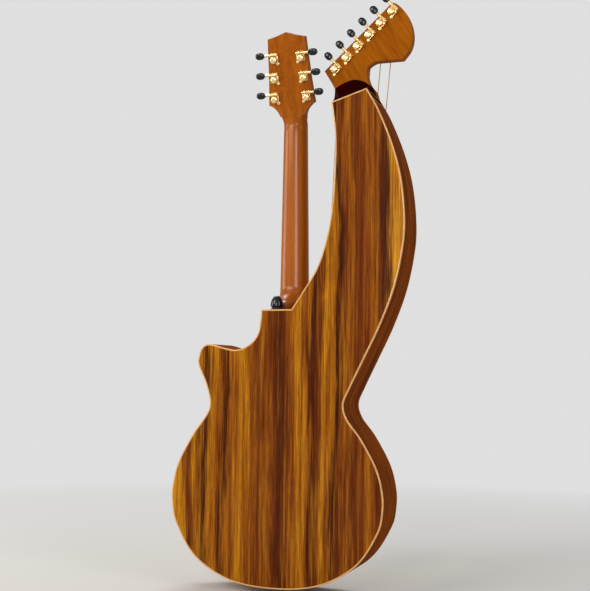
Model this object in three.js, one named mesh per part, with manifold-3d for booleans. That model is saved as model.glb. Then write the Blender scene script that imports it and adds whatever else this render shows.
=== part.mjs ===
// Harp guitar, upright: +Z runs up the neck, the soundboard faces -Y, the harp arm is at -X.
// The origin is the end pin's seat, on the tail at half the depth of the sides. Lengths in mm.
import * as THREE from 'three';
import { mergeVertices } from 'three/addons/utils/BufferGeometryUtils.js';
import Module from 'manifold-3d';

const wasm = await Module();
wasm.setup();

// Driving sizes of the body
const bodyLength = 495;
const halfBout = 200;
const armReach = 236;
const armTop = 889;
const tailDepth = 106;
const armDepth = 98;
const archRise = 4.5;
const sideThickness = 2.4;
const topThickness = 3;
const backThickness = 3;
const bindingWidth = 2.6;
const liningThickness = 6;
const liningHeight = 14;
const glueGap = 0.3;
const overrun = 40;
const weld = 0.0005;

// Driving sizes of the neck and its fingerboard
const scaleLength = 648;
const fretCount = 20;
const bodyFret = 14;
const nutWidth = 45.5;
const fingerboardEndWidth = 59;
const fingerboardOverhang = 8;
const fingerboardThickness = 6;
const fretWidth = 2.2;
const fretHeight = 1;
const neckThickness = 16;
const heelDepth = 58;
const heelRise = 44;
const nutLength = 5.5;
const nutLift = 1.4;
const headLength = 170;
const headThickness = 15;
const headHalfWidth = 45;
const headTilt = THREE.MathUtils.degToRad(17);

// Driving sizes of the harp head
const harpHeadLength = 187.5;
const harpHeadThickness = 18;
const harpHeadSetback = 1;
const endBlockLength = 18;
const scoopRise = 48;
const harpNutWidth = 6;
const harpNutHeight = 9.6;
const postInset = 12.5;
const harpPostPitch = 29.6;
const harpPostStart = 15.5;
const harpNutInset = 16;

// Driving sizes of one tuner
const gearTeeth = 12;
const gearPitchRadius = 6.2;
const wormPitchRadius = 3.1;
const toothHeight = 0.8;
const toothClearance = 0.3;
const toothBacklash = 0.6;
const gearThickness = 3;
const wormTurns = 2;
const shaftRadius = 1.5;
const runningClearance = 0.25;
const plateThickness = 1.2;
const plateWidth = 12;
const plateFoot = 1.5;
const footReach = 6.9;
const footRadius = 3;
const earThickness = 2.2;
const postRadius = 3;
const sleeveWall = 1.4;
const collarRadius = 6.5;
const collarHeight = 2;
const postReach = 15;
const buttonLength = 18.5;
const buttonWidth = 15;
const buttonThickness = 8;
const shaftReach = 16.5;
const screwRadius = 2.2;

// Driving sizes of the strings, their bridge and the soundhole
const saddleTop = 11.6;
const bridgeHeight = 8;
const bridgeDepth = 30;
const bridgeMargin = 16;
const saddleWidth = 3;
const stringSpread = 55;
const harpStringPitch = 12.4;
const harpStringStart = 46;
const pinSetback = 11;
const pinRadius = 2.6;
const pinHeight = 2.4;
const mainStringRadii = [0.68, 0.53, 0.41, 0.31, 0.21, 0.16];
const harpStringRadii = [0.55, 0.6, 0.65, 0.7, 0.76, 0.82];
const soundholeRadius = 50;
const soundholeMargin = 2.5;

// Driving sizes of the braces, the inner blocks and the strap pins
const braceWidth = 8;
const braceHeight = 13;
const bridgePlateLength = 56;
const bridgePlateOffset = 40;
const blockDepth = 42;
const innerBlockWidth = 76;
const strapButtonRadius = 12;
const strapButtonHeight = 26;
const strapButtonOffset = 6;
const strapButtonSetback = 25;
const endPinRadius = 7;
const endPinNeckRadius = 4;
const endPinHeight = 10;
const endPinTaper = 22;

const quarterTurn = Math.PI / 2;
const fullTurn = Math.PI * 2;
const backSlope = (armDepth - tailDepth) / armTop;
const nutZ = bodyLength + scaleLength * (1 - 2 ** (-bodyFret / 12));
const saddleZ = nutZ - scaleLength;
const fretZ = (n) => nutZ - scaleLength * (1 - 2 ** (-n / 12));
const fingerboardEnd = fretZ(fretCount) - fingerboardOverhang;
const soundholeZ = fingerboardEnd - soundholeMargin - soundholeRadius;
const wormDistance = gearPitchRadius + wormPitchRadius;

// Shares of halfBout and bodyLength, from the arm side's waist round the tail to the shelf
const lowerBoutShares = [
  [-0.64, 0.66], [-0.675, 0.607], [-0.8, 0.54], [-0.935, 0.442], [-0.992, 0.36], [-0.998, 0.29],
  [-0.95, 0.21], [-0.755, 0.095], [-0.415, 0.02], [0, 0], [0.415, 0.02], [0.755, 0.095], [0.95, 0.21],
  [0.998, 0.29], [0.992, 0.36], [0.935, 0.442], [0.8, 0.54], [0.665, 0.615], [0.632, 0.66],
  [0.677, 0.728], [0.748, 0.79], [0.757, 0.82], [0.722, 0.86], [0.645, 0.874], [0.505, 0.861],
  [0.395, 0.853], [0.305, 0.861], [0.222, 0.882], [0.168, 0.914], [0.147, 0.955], [0.14, 1],
];
// Shares of armReach and armTop, down the arm's outer edge from its end
const armOuterShares = [
  [-0.703, 1], [-0.797, 0.955], [-0.907, 0.881], [-0.975, 0.808], [-1, 0.725], [-0.979, 0.665],
  [-0.919, 0.595], [-0.818, 0.524], [-0.691, 0.454], [-0.592, 0.4],
];
// Shares of armReach and armTop, up the arm's inner edge above the shelf
const armInnerShares = [
  [-0.127, 0.557], [-0.22, 0.594], [-0.325, 0.639], [-0.396, 0.695], [-0.44, 0.76], [-0.46, 0.85],
  [-0.458, 0.915], [-0.428, 0.9765],
];

// How finely curved outlines and turned shapes are cut into flats
const outlineStepsPerPoint = 2;
const archSteps = 4;
const neckSteps = 9;
const scoopSteps = 2;
const soundholeSides = 32;
const strapPinSides = 12;
const postSides = 6;
const shaftSides = 6;
const wormStepsPerTurn = 6;
const buttonSides = 8;
const wireSides = 4;
const windingSides = 6;
const ontoFront = [90, 0, 0];

// A faceted bore clears a round shaft at the middle of each flat
const boreRound = (radius, sides) => (radius + runningClearance) / Math.cos(Math.PI / sides);
const postBore = boreRound(postRadius, postSides);
const sleeveRadius = postBore + sleeveWall;

function alongSpline(places, stepsPerPoint) {
  const curve = new THREE.SplineCurve(places.map(([x, z]) => new THREE.Vector2(x, z)));
  return curve.getPoints((places.length - 1) * stepsPerPoint);
}

function scaled(shares, across, along) {
  return shares.map(([x, z]) => [x * across, z * along]);
}

// The body's outline in X and Z, with corners at the shelf and at the arm's end
function bodyOutline() {
  const arm = scaled(armOuterShares, armReach, armTop);
  const outer = [...arm, ...scaled(lowerBoutShares, halfBout, bodyLength)];
  const inner = scaled(armInnerShares, armReach, armTop);
  inner[0][1] = bodyLength;
  return [...alongSpline(outer, outlineStepsPerPoint), ...alongSpline(inner, outlineStepsPerPoint)];
}

function signedArea(points) {
  return THREE.ShapeUtils.area(points);
}

// The outline moved inwards by one distance, with mitred corners
function insetOutline(points, distance) {
  const side = Math.sign(signedArea(points));
  const normal = (a, b) => new THREE.Vector2(a.y - b.y, b.x - a.x).normalize().multiplyScalar(side);
  return points.map((point, i) => {
    const before = normal(points.at(i - 1), point);
    const after = normal(point, points[(i + 1) % points.length]);
    const mitre = before.clone().add(after).multiplyScalar(distance / (1 + before.dot(after)));
    return point.clone().add(mitre);
  });
}

function solidOf(geometry) {
  const bare = geometry.clone();
  for (const name of Object.keys(bare.attributes)) {
    if (name !== 'position') bare.deleteAttribute(name);
  }
  const merged = mergeVertices(bare, weld);
  const vertProperties = new Float32Array(merged.attributes.position.array);
  const faces = [];
  for (let i = 0; i < merged.index.count; i += 3) {
    const [a, b, c] = [0, 1, 2].map((k) => merged.index.getX(i + k));
    if (a !== b && b !== c && c !== a) faces.push(a, b, c);
  }
  if (volumeOf(vertProperties, faces) < 0) faces.reverse();
  const triVerts = new Uint32Array(faces);
  return new wasm.Manifold(new wasm.Mesh({ numProp: 3, vertProperties, triVerts }));
}

function volumeOf(positions, triangles) {
  const corner = (i) => new THREE.Vector3().fromArray(positions, triangles[i] * 3);
  let sum = 0;
  for (let i = 0; i < triangles.length; i += 3) {
    sum += corner(i).dot(corner(i + 1).cross(corner(i + 2)));
  }
  return sum;
}

function geometryOf(solid) {
  const mesh = solid.getMesh();
  const geometry = new THREE.BufferGeometry();
  geometry.setAttribute('position', new THREE.BufferAttribute(new Float32Array(mesh.vertProperties), 3));
  geometry.setIndex(new THREE.BufferAttribute(new Uint32Array(mesh.triVerts), 1));
  geometry.computeVertexNormals();
  return geometry;
}

function union(solids) {
  return solids.reduce((all, next) => all.add(next));
}

// An outline in X and Z made solid between two places in Y
function prism(outline, nearY, farY) {
  const shape = new THREE.Shape(outline);
  const geometry = new THREE.ExtrudeGeometry(shape, { depth: farY - nearY, bevelEnabled: false });
  geometry.rotateX(quarterTurn);
  geometry.translate(0, farY, 0);
  return solidOf(geometry);
}

function block(width, depth, height, x, y, z) {
  return solidOf(new THREE.BoxGeometry(width, depth, height).translate(x, y, z));
}

// A skin over rings of equally many points, closed by a cap at each end
function loft(rings) {
  const count = rings[0].length;
  const triangles = [];
  rings.slice(1).forEach((ring, r) => {
    for (let i = 0; i < count; i += 1) {
      const low = r * count + i;
      const lowNext = r * count + ((i + 1) % count);
      triangles.push(low, lowNext, lowNext + count, low, lowNext + count, low + count);
    }
  });
  const last = (rings.length - 1) * count;
  capFaces(rings[0]).forEach(([a, b, c]) => triangles.push(a, c, b));
  capFaces(rings.at(-1)).forEach(([a, b, c]) => triangles.push(last + a, last + b, last + c));
  const positions = rings.flat().flatMap((p) => [p.x, p.y, p.z]);
  const geometry = new THREE.BufferGeometry();
  geometry.setAttribute('position', new THREE.Float32BufferAttribute(positions, 3));
  geometry.setIndex(triangles);
  return solidOf(geometry);
}

function capFaces(ring) {
  const normal = new THREE.Vector3();
  ring.forEach((point, i) => normal.add(point.clone().cross(ring[(i + 1) % ring.length])));
  normal.normalize();
  const across = ring[1].clone().sub(ring[0]).normalize();
  const along = normal.clone().cross(across);
  const flat = ring.map((point) => new THREE.Vector2(point.dot(across), point.dot(along)));
  return THREE.ShapeUtils.triangulateShape(flat, []);
}

function cylinder(radius, fromZ, toZ, sides) {
  const geometry = new THREE.CylinderGeometry(radius, radius, toZ - fromZ, sides);
  return solidOf(geometry.rotateX(quarterTurn).translate(0, 0, (fromZ + toZ) / 2));
}

// A turned shape about Z, from pairs of radius and height that start and end on the axis
function turned(profile, sides) {
  const points = profile.map(([radius, height]) => new THREE.Vector2(radius, height));
  return solidOf(new THREE.LatheGeometry(points, sides).rotateX(quarterTurn));
}

const outline = bodyOutline();

// Everything in front of the arched back, drawn in by one inset
function belowArch(inset) {
  const archHalf = armReach + overrun;
  const rise = (x) => -archRise * (x / halfBout) ** 2;
  const arc = [];
  for (let i = 0; i <= archSteps; i += 1) {
    const x = archHalf * ((2 * i) / archSteps - 1);
    arc.push(new THREE.Vector2(x, rise(x)));
  }
  arc.push(new THREE.Vector2(archHalf, -tailDepth - overrun));
  arc.push(new THREE.Vector2(-archHalf, -tailDepth - overrun));
  const length = armTop + overrun * 2;
  const geometry = new THREE.ExtrudeGeometry(new THREE.Shape(arc), { depth: length, bevelEnabled: false });
  geometry.translate(0, 0, -overrun);
  geometry.rotateX(Math.atan(-backSlope));
  geometry.translate(0, tailDepth - inset, 0);
  return solidOf(geometry);
}

// The body's block of space, drawn in at the edge, the front and the back
function bodySpace(edgeInset, frontInset, backInset) {
  const deep = prism(insetOutline(outline, edgeInset), frontInset, tailDepth + overrun);
  return deep.intersect(belowArch(backInset));
}

// The arm's end: its middle, the direction across it and the direction out of it
const armEndInner = new THREE.Vector2(armInnerShares.at(-1)[0] * armReach, armInnerShares.at(-1)[1] * armTop);
const armEndOuter = new THREE.Vector2(armOuterShares[0][0] * armReach, armOuterShares[0][1] * armTop);
const armEnd = armEndInner.clone().add(armEndOuter).multiplyScalar(0.5);
const armEndAcross = armEndOuter.clone().sub(armEndInner).normalize();
const armEndOut = new THREE.Vector2(armEndAcross.y, -armEndAcross.x);

// The slab of space past a line that lies a distance out from the arm's end
function pastArmEnd(distance) {
  const half = armReach;
  const corners = [[-half, distance], [half, distance], [half, half], [-half, half]];
  const places = corners.map(([across, out]) => armEnd.clone()
    .addScaledVector(armEndAcross, across).addScaledVector(armEndOut, out));
  return prism(places, -overrun, tailDepth + overrun);
}

// Between the soundboard and the back with their bindings, where the sides and blocks are
function betweenPlates() {
  return bodySpace(0, topThickness + glueGap, backThickness + glueGap);
}

// The two cream strips across the arm's end that join the front and back bindings
function endStrips(growth) {
  const reach = bindingWidth + growth;
  const length = armEndInner.distanceTo(armEndOuter) - reach * 2;
  const between = new THREE.BoxGeometry(length, tailDepth * 2, overrun * 2);
  between.rotateY(-Math.atan2(armEndAcross.y, armEndAcross.x));
  const space = prism(insetOutline(outline, -growth), 0, tailDepth).intersect(pastArmEnd(-reach));
  return space.subtract(solidOf(between.translate(armEnd.x, tailDepth / 2, armEnd.y)));
}

// The sides with their glued linings and the neck and tail blocks
function makeRim() {
  const liningEdge = sideThickness + liningThickness;
  const hollow = bodySpace(liningEdge, -overrun, -overrun);
  const betweenLinings = bodySpace(sideThickness, liningHeight, liningHeight);
  const wood = betweenPlates();
  const blockAt = (z) => block(innerBlockWidth, tailDepth, blockDepth, 0, tailDepth / 2, z);
  const neckBlock = blockAt(bodyLength - blockDepth / 2);
  const tailBlock = blockAt(blockDepth / 2);
  const pinHole = cylinder(endPinNeckRadius + glueGap, -overrun, endPinTaper + glueGap, strapPinSides)
    .translate([0, tailDepth / 2, 0]);
  return wood.subtract(hollow).subtract(betweenLinings)
    .add(neckBlock.add(tailBlock).intersect(wood))
    .subtract(pastArmEnd(-endBlockLength - glueGap))
    .subtract(pinHole);
}

function makeBinding() {
  const edge = (space) => space.subtract(bodySpace(bindingWidth, -overrun, -overrun));
  const front = edge(prism(outline, 0, topThickness));
  const back = edge(bodySpace(0, 0, 0).subtract(belowArch(backThickness)));
  const strips = endStrips(0).intersect(bodySpace(0, 0, 0));
  return front.add(back).add(strips);
}

function braceBar(length, width, height, x, y, z, turn) {
  const bar = new THREE.BoxGeometry(length, height, width).rotateY(turn);
  return solidOf(bar.translate(x, y, z));
}

// Shares of bodyLength up to the shelf, then of armTop, where a bar crosses the back
const backBraceShares = [0.16, 0.36, 0.59, 0.83];
const armBraceShares = [0.66, 0.78, 0.89];

function makeBackPlate() {
  const edge = bindingWidth + glueGap;
  const plate = bodySpace(edge, 0, 0).subtract(belowArch(backThickness));
  const places = [...backBraceShares.map((s) => s * bodyLength), ...armBraceShares.map((s) => s * armTop)];
  const bars = places.map((z) => braceBar(armReach * 2, braceWidth, tailDepth, 0, tailDepth / 2, z, 0));
  const room = bodySpace(sideThickness + liningThickness + glueGap, 0, backThickness / 2);
  const barSpace = room.subtract(belowArch(backThickness + braceHeight));
  return plate.add(union(bars).intersect(barSpace));
}

// Bars under the soundboard: x, z, turn and length as shares of halfBout, bodyLength, a half turn
// and bodyLength
const topBraceShares = [
  [0, 0.53, 0.27, 1], [0, 0.53, -0.27, 1], [0.1, 0.27, 0.17, 0.52], [0.05, 0.14, 0.17, 0.5],
  [0, 0.835, 0, 0.7], [-0.7, 1.17, -0.1, 0.42], [-0.85, 1.43, -0.05, 0.42],
];

function makeSoundboard() {
  const plate = prism(insetOutline(outline, bindingWidth + glueGap), 0, topThickness);
  const bars = topBraceShares.map(([x, z, turn, length]) => braceBar(
    length * bodyLength, braceWidth, braceHeight * 2, x * halfBout, 0, z * bodyLength, turn * Math.PI,
  ));
  const bridgePlate = block(
    halfBout, topThickness * 2, bridgePlateLength, -bridgePlateOffset, topThickness, saddleZ,
  );
  const edge = sideThickness + liningThickness + glueGap;
  const room = prism(insetOutline(outline, edge), topThickness / 2, topThickness + braceHeight);
  const clearOfBlock = block(
    innerBlockWidth + glueGap * 2, tailDepth, blockDepth + glueGap, 0,
    topThickness + glueGap + tailDepth / 2, bodyLength - (blockDepth + glueGap) / 2,
  );
  const hole = cylinder(soundholeRadius, -overrun, overrun, soundholeSides).rotate(ontoFront)
    .translate([0, 0, soundholeZ]);
  const clearOfArmEnd = pastArmEnd(-endBlockLength - glueGap);
  const inside = union(bars).add(bridgePlate).intersect(room).subtract(clearOfBlock).subtract(clearOfArmEnd);
  return plate.add(inside).subtract(hole);
}

// The neck's half width at a height, along the taper from the nut to the fingerboard's end
function halfWidthAt(z) {
  const share = (nutZ - z) / (nutZ - fingerboardEnd);
  return (nutWidth + (fingerboardEndWidth - nutWidth) * share) / 2;
}

// How round the back of the neck is, along its length and at the nut, as powers of a sine
const neckRoundShare = 0.8;
const nutRoundShare = 0.7;

// One cross-section of the neck: flat in front, round behind
function neckRing(z, halfWidth, depth, fullness) {
  const ring = [];
  for (let i = 0; i <= neckSteps; i += 1) {
    const angle = (Math.PI * i) / neckSteps;
    const round = Math.sin(angle) ** fullness;
    ring.push(new THREE.Vector3(halfWidth * Math.cos(angle), glueGap + depth * round, z));
  }
  return ring;
}

// Shares of heelRise above the body, of the heel's extra depth there, and of the neck's width
const heelShares = [
  [0, 1, 0.9], [0.3, 0.97, 0.9], [0.42, 0.8, 0.92], [0.55, 0.5, 0.96], [0.75, 0.18, 1], [1, 0, 1],
];
// Shares of headHalfWidth and headLength, up one side of the head from the nut
const headCornerShare = [1, 0.22];
const headTopShare = [0.81, 0.94];
const headShares = [
  [0.505, -0.02], [0.512, 0.03], [0.55, 0.085], [0.64, 0.14], [0.8, 0.19], headCornerShare, [0.905, 0.5],
  headTopShare, [0.4, 0.965], [0, 1],
];

function makeNeck() {
  const foot = bodyLength + glueGap;
  const rings = heelShares.map(([rise, deep, wide]) => {
    const z = foot + rise * heelRise;
    const depth = neckThickness + (heelDepth - neckThickness) * deep;
    return neckRing(z, halfWidthAt(z) * wide, depth, neckRoundShare);
  });
  const throat = nutZ - headThickness;
  rings.push(neckRing(throat, halfWidthAt(throat), neckThickness, neckRoundShare));
  rings.push(neckRing(nutZ + nutLength, halfWidthAt(nutZ), neckThickness, nutRoundShare));
  const half = headShares.map(([x, z]) => new THREE.Vector2(x * headHalfWidth, z * headLength));
  const mirrored = half.slice(0, -1).reverse().map((p) => new THREE.Vector2(-p.x, p.y));
  const plate = prism([...half, ...mirrored], 0, headThickness);
  const head = onHead(plate);
  const holes = union(mainPosts().map((post) => postHole(post)));
  const nutSeat = block(
    nutWidth * 2, overrun, nutLength * 2 + glueGap, 0, glueGap - overrun / 2, nutZ + glueGap / 2,
  );
  return union([loft(rings), head]).subtract(holes).subtract(nutSeat);
}

// The head's own frame starts behind the nut and leans back
const headRoot = new THREE.Vector3(0, glueGap, nutZ + nutLength / 2);
function onHead(solid) {
  return solid.rotate([-THREE.MathUtils.radToDeg(headTilt), 0, 0]).translate(headRoot.toArray());
}

function makeFingerboard() {
  const low = halfWidthAt(fingerboardEnd);
  const high = halfWidthAt(nutZ);
  const top = nutZ - glueGap;
  const board = prism([
    new THREE.Vector2(-low, fingerboardEnd), new THREE.Vector2(low, fingerboardEnd),
    new THREE.Vector2(high, top), new THREE.Vector2(-high, top),
  ], -fingerboardThickness, -glueGap);
  const frets = [];
  for (let n = 1; n <= fretCount; n += 1) {
    const z = fretZ(n);
    const half = halfWidthAt(z) - glueGap;
    const section = [
      new THREE.Vector2(-fretWidth / 2, 0), new THREE.Vector2(0, -fretHeight),
      new THREE.Vector2(fretWidth / 2, 0), new THREE.Vector2(0, fretHeight / 2),
    ];
    const ring = (x) => section.map((p) => new THREE.Vector3(x, p.y - fingerboardThickness, z + p.x));
    frets.push(loft([ring(-half), ring(half)]));
  }
  return board.add(union(frets));
}

function makeNut() {
  const width = nutWidth - glueGap * 2;
  const top = -fingerboardThickness - nutLift;
  const [height, middle] = [-top - glueGap, (top - glueGap) / 2];
  return block(width, height, nutLength - glueGap * 2, 0, middle, nutZ + nutLength / 2);
}

// Shares of harpHeadLength from the middle of the arm's end: the straight edges, the lobe and the throat
const harpEdgeShares = [[0.173, -0.056], [0.269, 0.184], [0.376, 0.371]];
const harpLobeShares = [
  [-0.259, 0.947], [-0.325, 1], [-0.389, 0.965], [-0.453, 0.891], [-0.499, 0.8], [-0.525, 0.699],
  [-0.525, 0.603], [-0.496, 0.512], [-0.424, 0.424],
];
const harpThroatShares = [
  [-0.157, 0.424], [-0.099, 0.397], [-0.067, 0.355], [-0.072, 0.275], [-0.099, 0.2], [-0.157, 0.12],
  [-0.173, 0.056],
];
// Shares of scoopRise, from the arm's inner corner to its outer one
const scoopRiseShares = [1.004, 1.054, 1.075, 1.067, 0.99, 0.8, 0.5];
// How far the slope leans in with the head's edge, and how hollow it is, as shares of its rise
const scoopLeanShare = 0.06;
const scoopHollowShare = 0.1;

function harpHeadPoint([x, z]) {
  return new THREE.Vector2(armEnd.x + x * harpHeadLength, armEnd.y + z * harpHeadLength);
}

function harpHeadOutline() {
  const corners = (shares) => shares.map(harpHeadPoint);
  const spline = (shares) => alongSpline(corners(shares).map((p) => [p.x, p.y]), 2);
  return [...corners(harpEdgeShares), ...spline(harpLobeShares), ...spline(harpThroatShares)];
}

// The slightly hollow slope from the arm's full depth up to the thin head
function makeScoop() {
  const front = harpHeadSetback + harpHeadThickness;
  const width = armEndInner.distanceTo(armEndOuter) - glueGap * 2;
  const rings = scoopRiseShares.map((share, i) => {
    const across = width * (i / (scoopRiseShares.length - 1) - 0.5);
    const base = armEnd.clone().addScaledVector(armEndAcross, across);
    const back = tailDepth + backSlope * base.y;
    const way = armEndOut.clone().addScaledVector(armEndAcross, -scoopLeanShare);
    const at = (out, y) => new THREE.Vector3(base.x + way.x * out, y, base.y + way.y * out);
    const ring = [at(-endBlockLength / 2, front - harpHeadThickness / 2)];
    ring.push(at(share * scoopRise, front - harpHeadThickness / 2));
    for (let s = 0; s <= scoopSteps; s += 1) {
      const down = s / scoopSteps;
      const left = 1 - down - scoopHollowShare * Math.sin(Math.PI * down);
      ring.push(at(share * scoopRise * left, front + (back - front) * down));
    }
    ring.push(at(-endBlockLength / 2, back));
    return ring;
  });
  return loft(rings).intersect(belowArch(backThickness + glueGap));
}

function makeHarpHead() {
  const plate = prism(harpHeadOutline(), harpHeadSetback, harpHeadSetback + harpHeadThickness);
  const endBlock = betweenPlates().intersect(pastArmEnd(-endBlockLength));
  const holes = union(harpPosts().map((post) => postHole(post)));
  const cover = prism(insetOutline(outline, -glueGap), -overrun, topThickness + glueGap);
  return plate.add(makeScoop()).subtract(cover).add(endBlock)
    .subtract(endStrips(glueGap)).subtract(holes);
}

// A tuner's seat: origin on the head's rear face at the post, out = towards its button
function seat(origin, out, rear, thickness) {
  const up = rear.clone().cross(out).normalize();
  const worm = up.z < 0 ? up.negate() : up;
  const matrix = new THREE.Matrix4().makeBasis(out, worm, rear).setPosition(origin);
  return { origin, rear, thickness, matrix };
}

function mainPosts() {
  const rowShares = [0.28, 0.495, 0.71];
  const lean = new THREE.Matrix4().makeRotationX(-headTilt).setPosition(headRoot);
  const rear = new THREE.Vector3(0, 1, 0).transformDirection(lean);
  const posts = [];
  for (const side of [-1, 1]) {
    for (const share of rowShares) {
      const slope = (share - headCornerShare[1]) / (headTopShare[1] - headCornerShare[1]);
      const edge = (headCornerShare[0] + (headTopShare[0] - headCornerShare[0]) * slope) * headHalfWidth;
      const place = new THREE.Vector3(side * (edge - postInset), headThickness, share * headLength);
      const out = new THREE.Vector3(side, 0, 0);
      posts.push(seat(place.applyMatrix4(lean), out, rear, headThickness));
    }
  }
  return posts;
}

const harpEdgeStart = harpHeadPoint(harpEdgeShares.at(-1));
const harpEdgeAlong = harpHeadPoint(harpLobeShares[0]).sub(harpEdgeStart).normalize();
const harpEdgeIn = new THREE.Vector2(-harpEdgeAlong.y, harpEdgeAlong.x);

function harpPosts() {
  const rear = new THREE.Vector3(0, 1, 0);
  const out = new THREE.Vector3(-harpEdgeIn.x, 0, -harpEdgeIn.y);
  const posts = [];
  for (let n = 0; n < harpStringRadii.length; n += 1) {
    const place = harpEdgeStart.clone().addScaledVector(harpEdgeAlong, harpPostStart + n * harpPostPitch);
    place.addScaledVector(harpEdgeIn, postInset);
    const origin = new THREE.Vector3(place.x, harpHeadSetback + harpHeadThickness, place.y);
    posts.push(seat(origin, out, rear, harpHeadThickness));
  }
  return posts;
}

// A tuner's solid in its seat; the worm is always on the upper side, so one side's set is a mirror image
function seated(solid, post) {
  return solid.transform([...post.matrix.elements]);
}

function postHole(post) {
  const hole = cylinder(sleeveRadius + glueGap, -post.thickness - overrun, overrun, postSides);
  return seated(hole, post);
}

const wormLift = glueGap + plateThickness + wormPitchRadius + toothHeight + toothClearance;
const toothPitch = (fullTurn * gearPitchRadius) / gearTeeth;
const toothWidth = (toothPitch - toothBacklash) / 2;
const earPlace = (wormTurns * toothPitch) / 2 + toothWidth + toothClearance + earThickness / 2;

// The mounting plate with two ears for the worm, the post's sleeve and the collar on the front
function makePlate(post) {
  const wide = plateWidth + earThickness;
  const long = gearPitchRadius + plateFoot + wormDistance + shaftRadius;
  const middle = wormDistance + shaftRadius + earThickness - long / 2;
  const sheet = block(wide, long, plateThickness, 0, middle, glueGap + plateThickness / 2);
  const earHeight = wormLift + shaftRadius + earThickness / 2;
  const earWidth = shaftRadius * 2 + earThickness;
  const ears = [-1, 1].map((side) => block(
    earThickness, earWidth, earHeight, side * earPlace, wormDistance, glueGap + earHeight / 2,
  ));
  const bearingRadius = boreRound(shaftRadius, shaftSides);
  const bearing = solidOf(new THREE.CylinderGeometry(bearingRadius, bearingRadius, wide * 2, shaftSides)
    .rotateZ(quarterTurn).translate(0, wormDistance, wormLift));
  const footPlace = [-footReach, -footReach, 0];
  const foot = cylinder(footRadius, glueGap, glueGap + plateThickness, postSides).translate(footPlace);
  const screw = cylinder(screwRadius, plateThickness, plateThickness * 2, postSides).translate(footPlace);
  const face = -post.thickness - glueGap;
  const sleeve = cylinder(sleeveRadius, face - collarHeight, plateThickness, postSides);
  const collar = cylinder(collarRadius, face - collarHeight, face, postSides);
  const bore = cylinder(postBore, -post.thickness - overrun, overrun, postSides);
  return union([sheet, ...ears, foot, screw, sleeve, collar]).subtract(bearing).subtract(bore);
}

// Which side of the pitch circle a tooth's corner lies on, and its share of the tooth's width
const toothShares = [[-1, -0.72], [1, -0.28], [1, 0.28], [-1, 0.72]];

// The post's waist and the worm's buried thread root, as shares of their radii
const postWaistShare = 0.8;
const threadRootShare = 0.8;

// The wheel's teeth lean by the worm's lead angle across its thickness
function makeGearAndPost(post) {
  const outer = gearPitchRadius + toothHeight;
  const root = gearPitchRadius - toothHeight - toothClearance;
  const lead = (toothPitch / (fullTurn * wormPitchRadius)) * (gearThickness / 2 / gearPitchRadius);
  const corners = toothShares.map(([side, share]) => [side < 0 ? root : outer, toothWidth * share]);
  const ring = (height, twist) => {
    const points = [];
    for (let n = 0; n < gearTeeth; n += 1) {
      const turn = quarterTurn + (fullTurn * n) / gearTeeth + twist;
      for (const [radius, half] of corners) {
        const angle = turn + half / radius;
        points.push(new THREE.Vector3(radius * Math.cos(angle), radius * Math.sin(angle), height));
      }
    }
    return points;
  };
  const low = wormLift - gearThickness / 2;
  const high = wormLift + gearThickness / 2;
  const wheel = loft([ring(low, -lead), ring(high, lead)]);
  const end = -post.thickness - postReach;
  const top = high + shaftRadius;
  const stem = turned([
    [0, end], [postRadius, end], [postRadius * postWaistShare, end + postReach / 2],
    [postRadius, top], [0, top],
  ], postSides);
  return wheel.add(stem);
}

// The threaded worm on its shaft, with the button on the far end
function makeWormAndButton() {
  const outer = wormPitchRadius + toothHeight;
  const root = wormPitchRadius - toothHeight - toothClearance;
  const length = wormTurns * toothPitch;
  const steps = Math.round(wormTurns * wormStepsPerTurn);
  const buried = root * threadRootShare;
  const section = toothShares.map(([side, share]) => [side < 0 ? buried : outer, toothWidth * share]);
  const rings = [];
  for (let s = 0; s <= steps; s += 1) {
    const turn = fullTurn * wormTurns * (s / steps - 0.5) + quarterTurn;
    const along = length * (s / steps - 0.5);
    rings.push(section.map(([radius, offset]) => new THREE.Vector3(
      along + offset, radius * Math.sin(turn), radius * Math.cos(turn),
    )));
  }
  const shaft = (radius, from, to, sides) => solidOf(
    new THREE.CylinderGeometry(radius, radius, to - from, sides)
      .rotateZ(quarterTurn).translate((from + to) / 2, 0, 0),
  );
  const core = shaft(root, -length / 2 - toothWidth, length / 2 + toothWidth, wormStepsPerTurn);
  const inner = -earPlace - earThickness;
  const stem = shaft(shaftRadius, inner, shaftReach + buttonLength / 4, shaftSides);
  const button = solidOf(new THREE.SphereGeometry(1 / 2, buttonSides, buttonSides / 2).rotateZ(quarterTurn)
    .scale(buttonLength, buttonWidth, buttonThickness).translate(shaftReach + buttonLength / 2, 0, 0));
  return union([loft(rings), core, stem, button]).translate([0, wormDistance, wormLift]);
}

// A thin round wire through its points
function wire(points, radius) {
  const rings = points.map((point, i) => {
    const before = points[Math.max(i - 1, 0)];
    const after = points[Math.min(i + 1, points.length - 1)];
    const along = after.clone().sub(before).normalize();
    const across = along.clone().cross(new THREE.Vector3(0, 1, 0)).normalize();
    const up = across.clone().cross(along);
    return Array.from({ length: wireSides }, (_, n) => {
      const angle = (fullTurn * n) / wireSides;
      const [side, rise] = [radius * Math.cos(angle), radius * Math.sin(angle)];
      return point.clone().addScaledVector(across, side).addScaledVector(up, rise);
    });
  });
  return loft(rings);
}

const windingRadius = (postRadius + glueGap) / Math.cos(Math.PI / windingSides);

// The turns of string wound on a post, as one sleeve that the string runs into
function winding(post, wall, from, to) {
  const bore = cylinder(windingRadius, from - glueGap, to + glueGap, windingSides);
  return seated(cylinder(windingRadius + wall, from, to, windingSides).subtract(bore), post);
}

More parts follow.
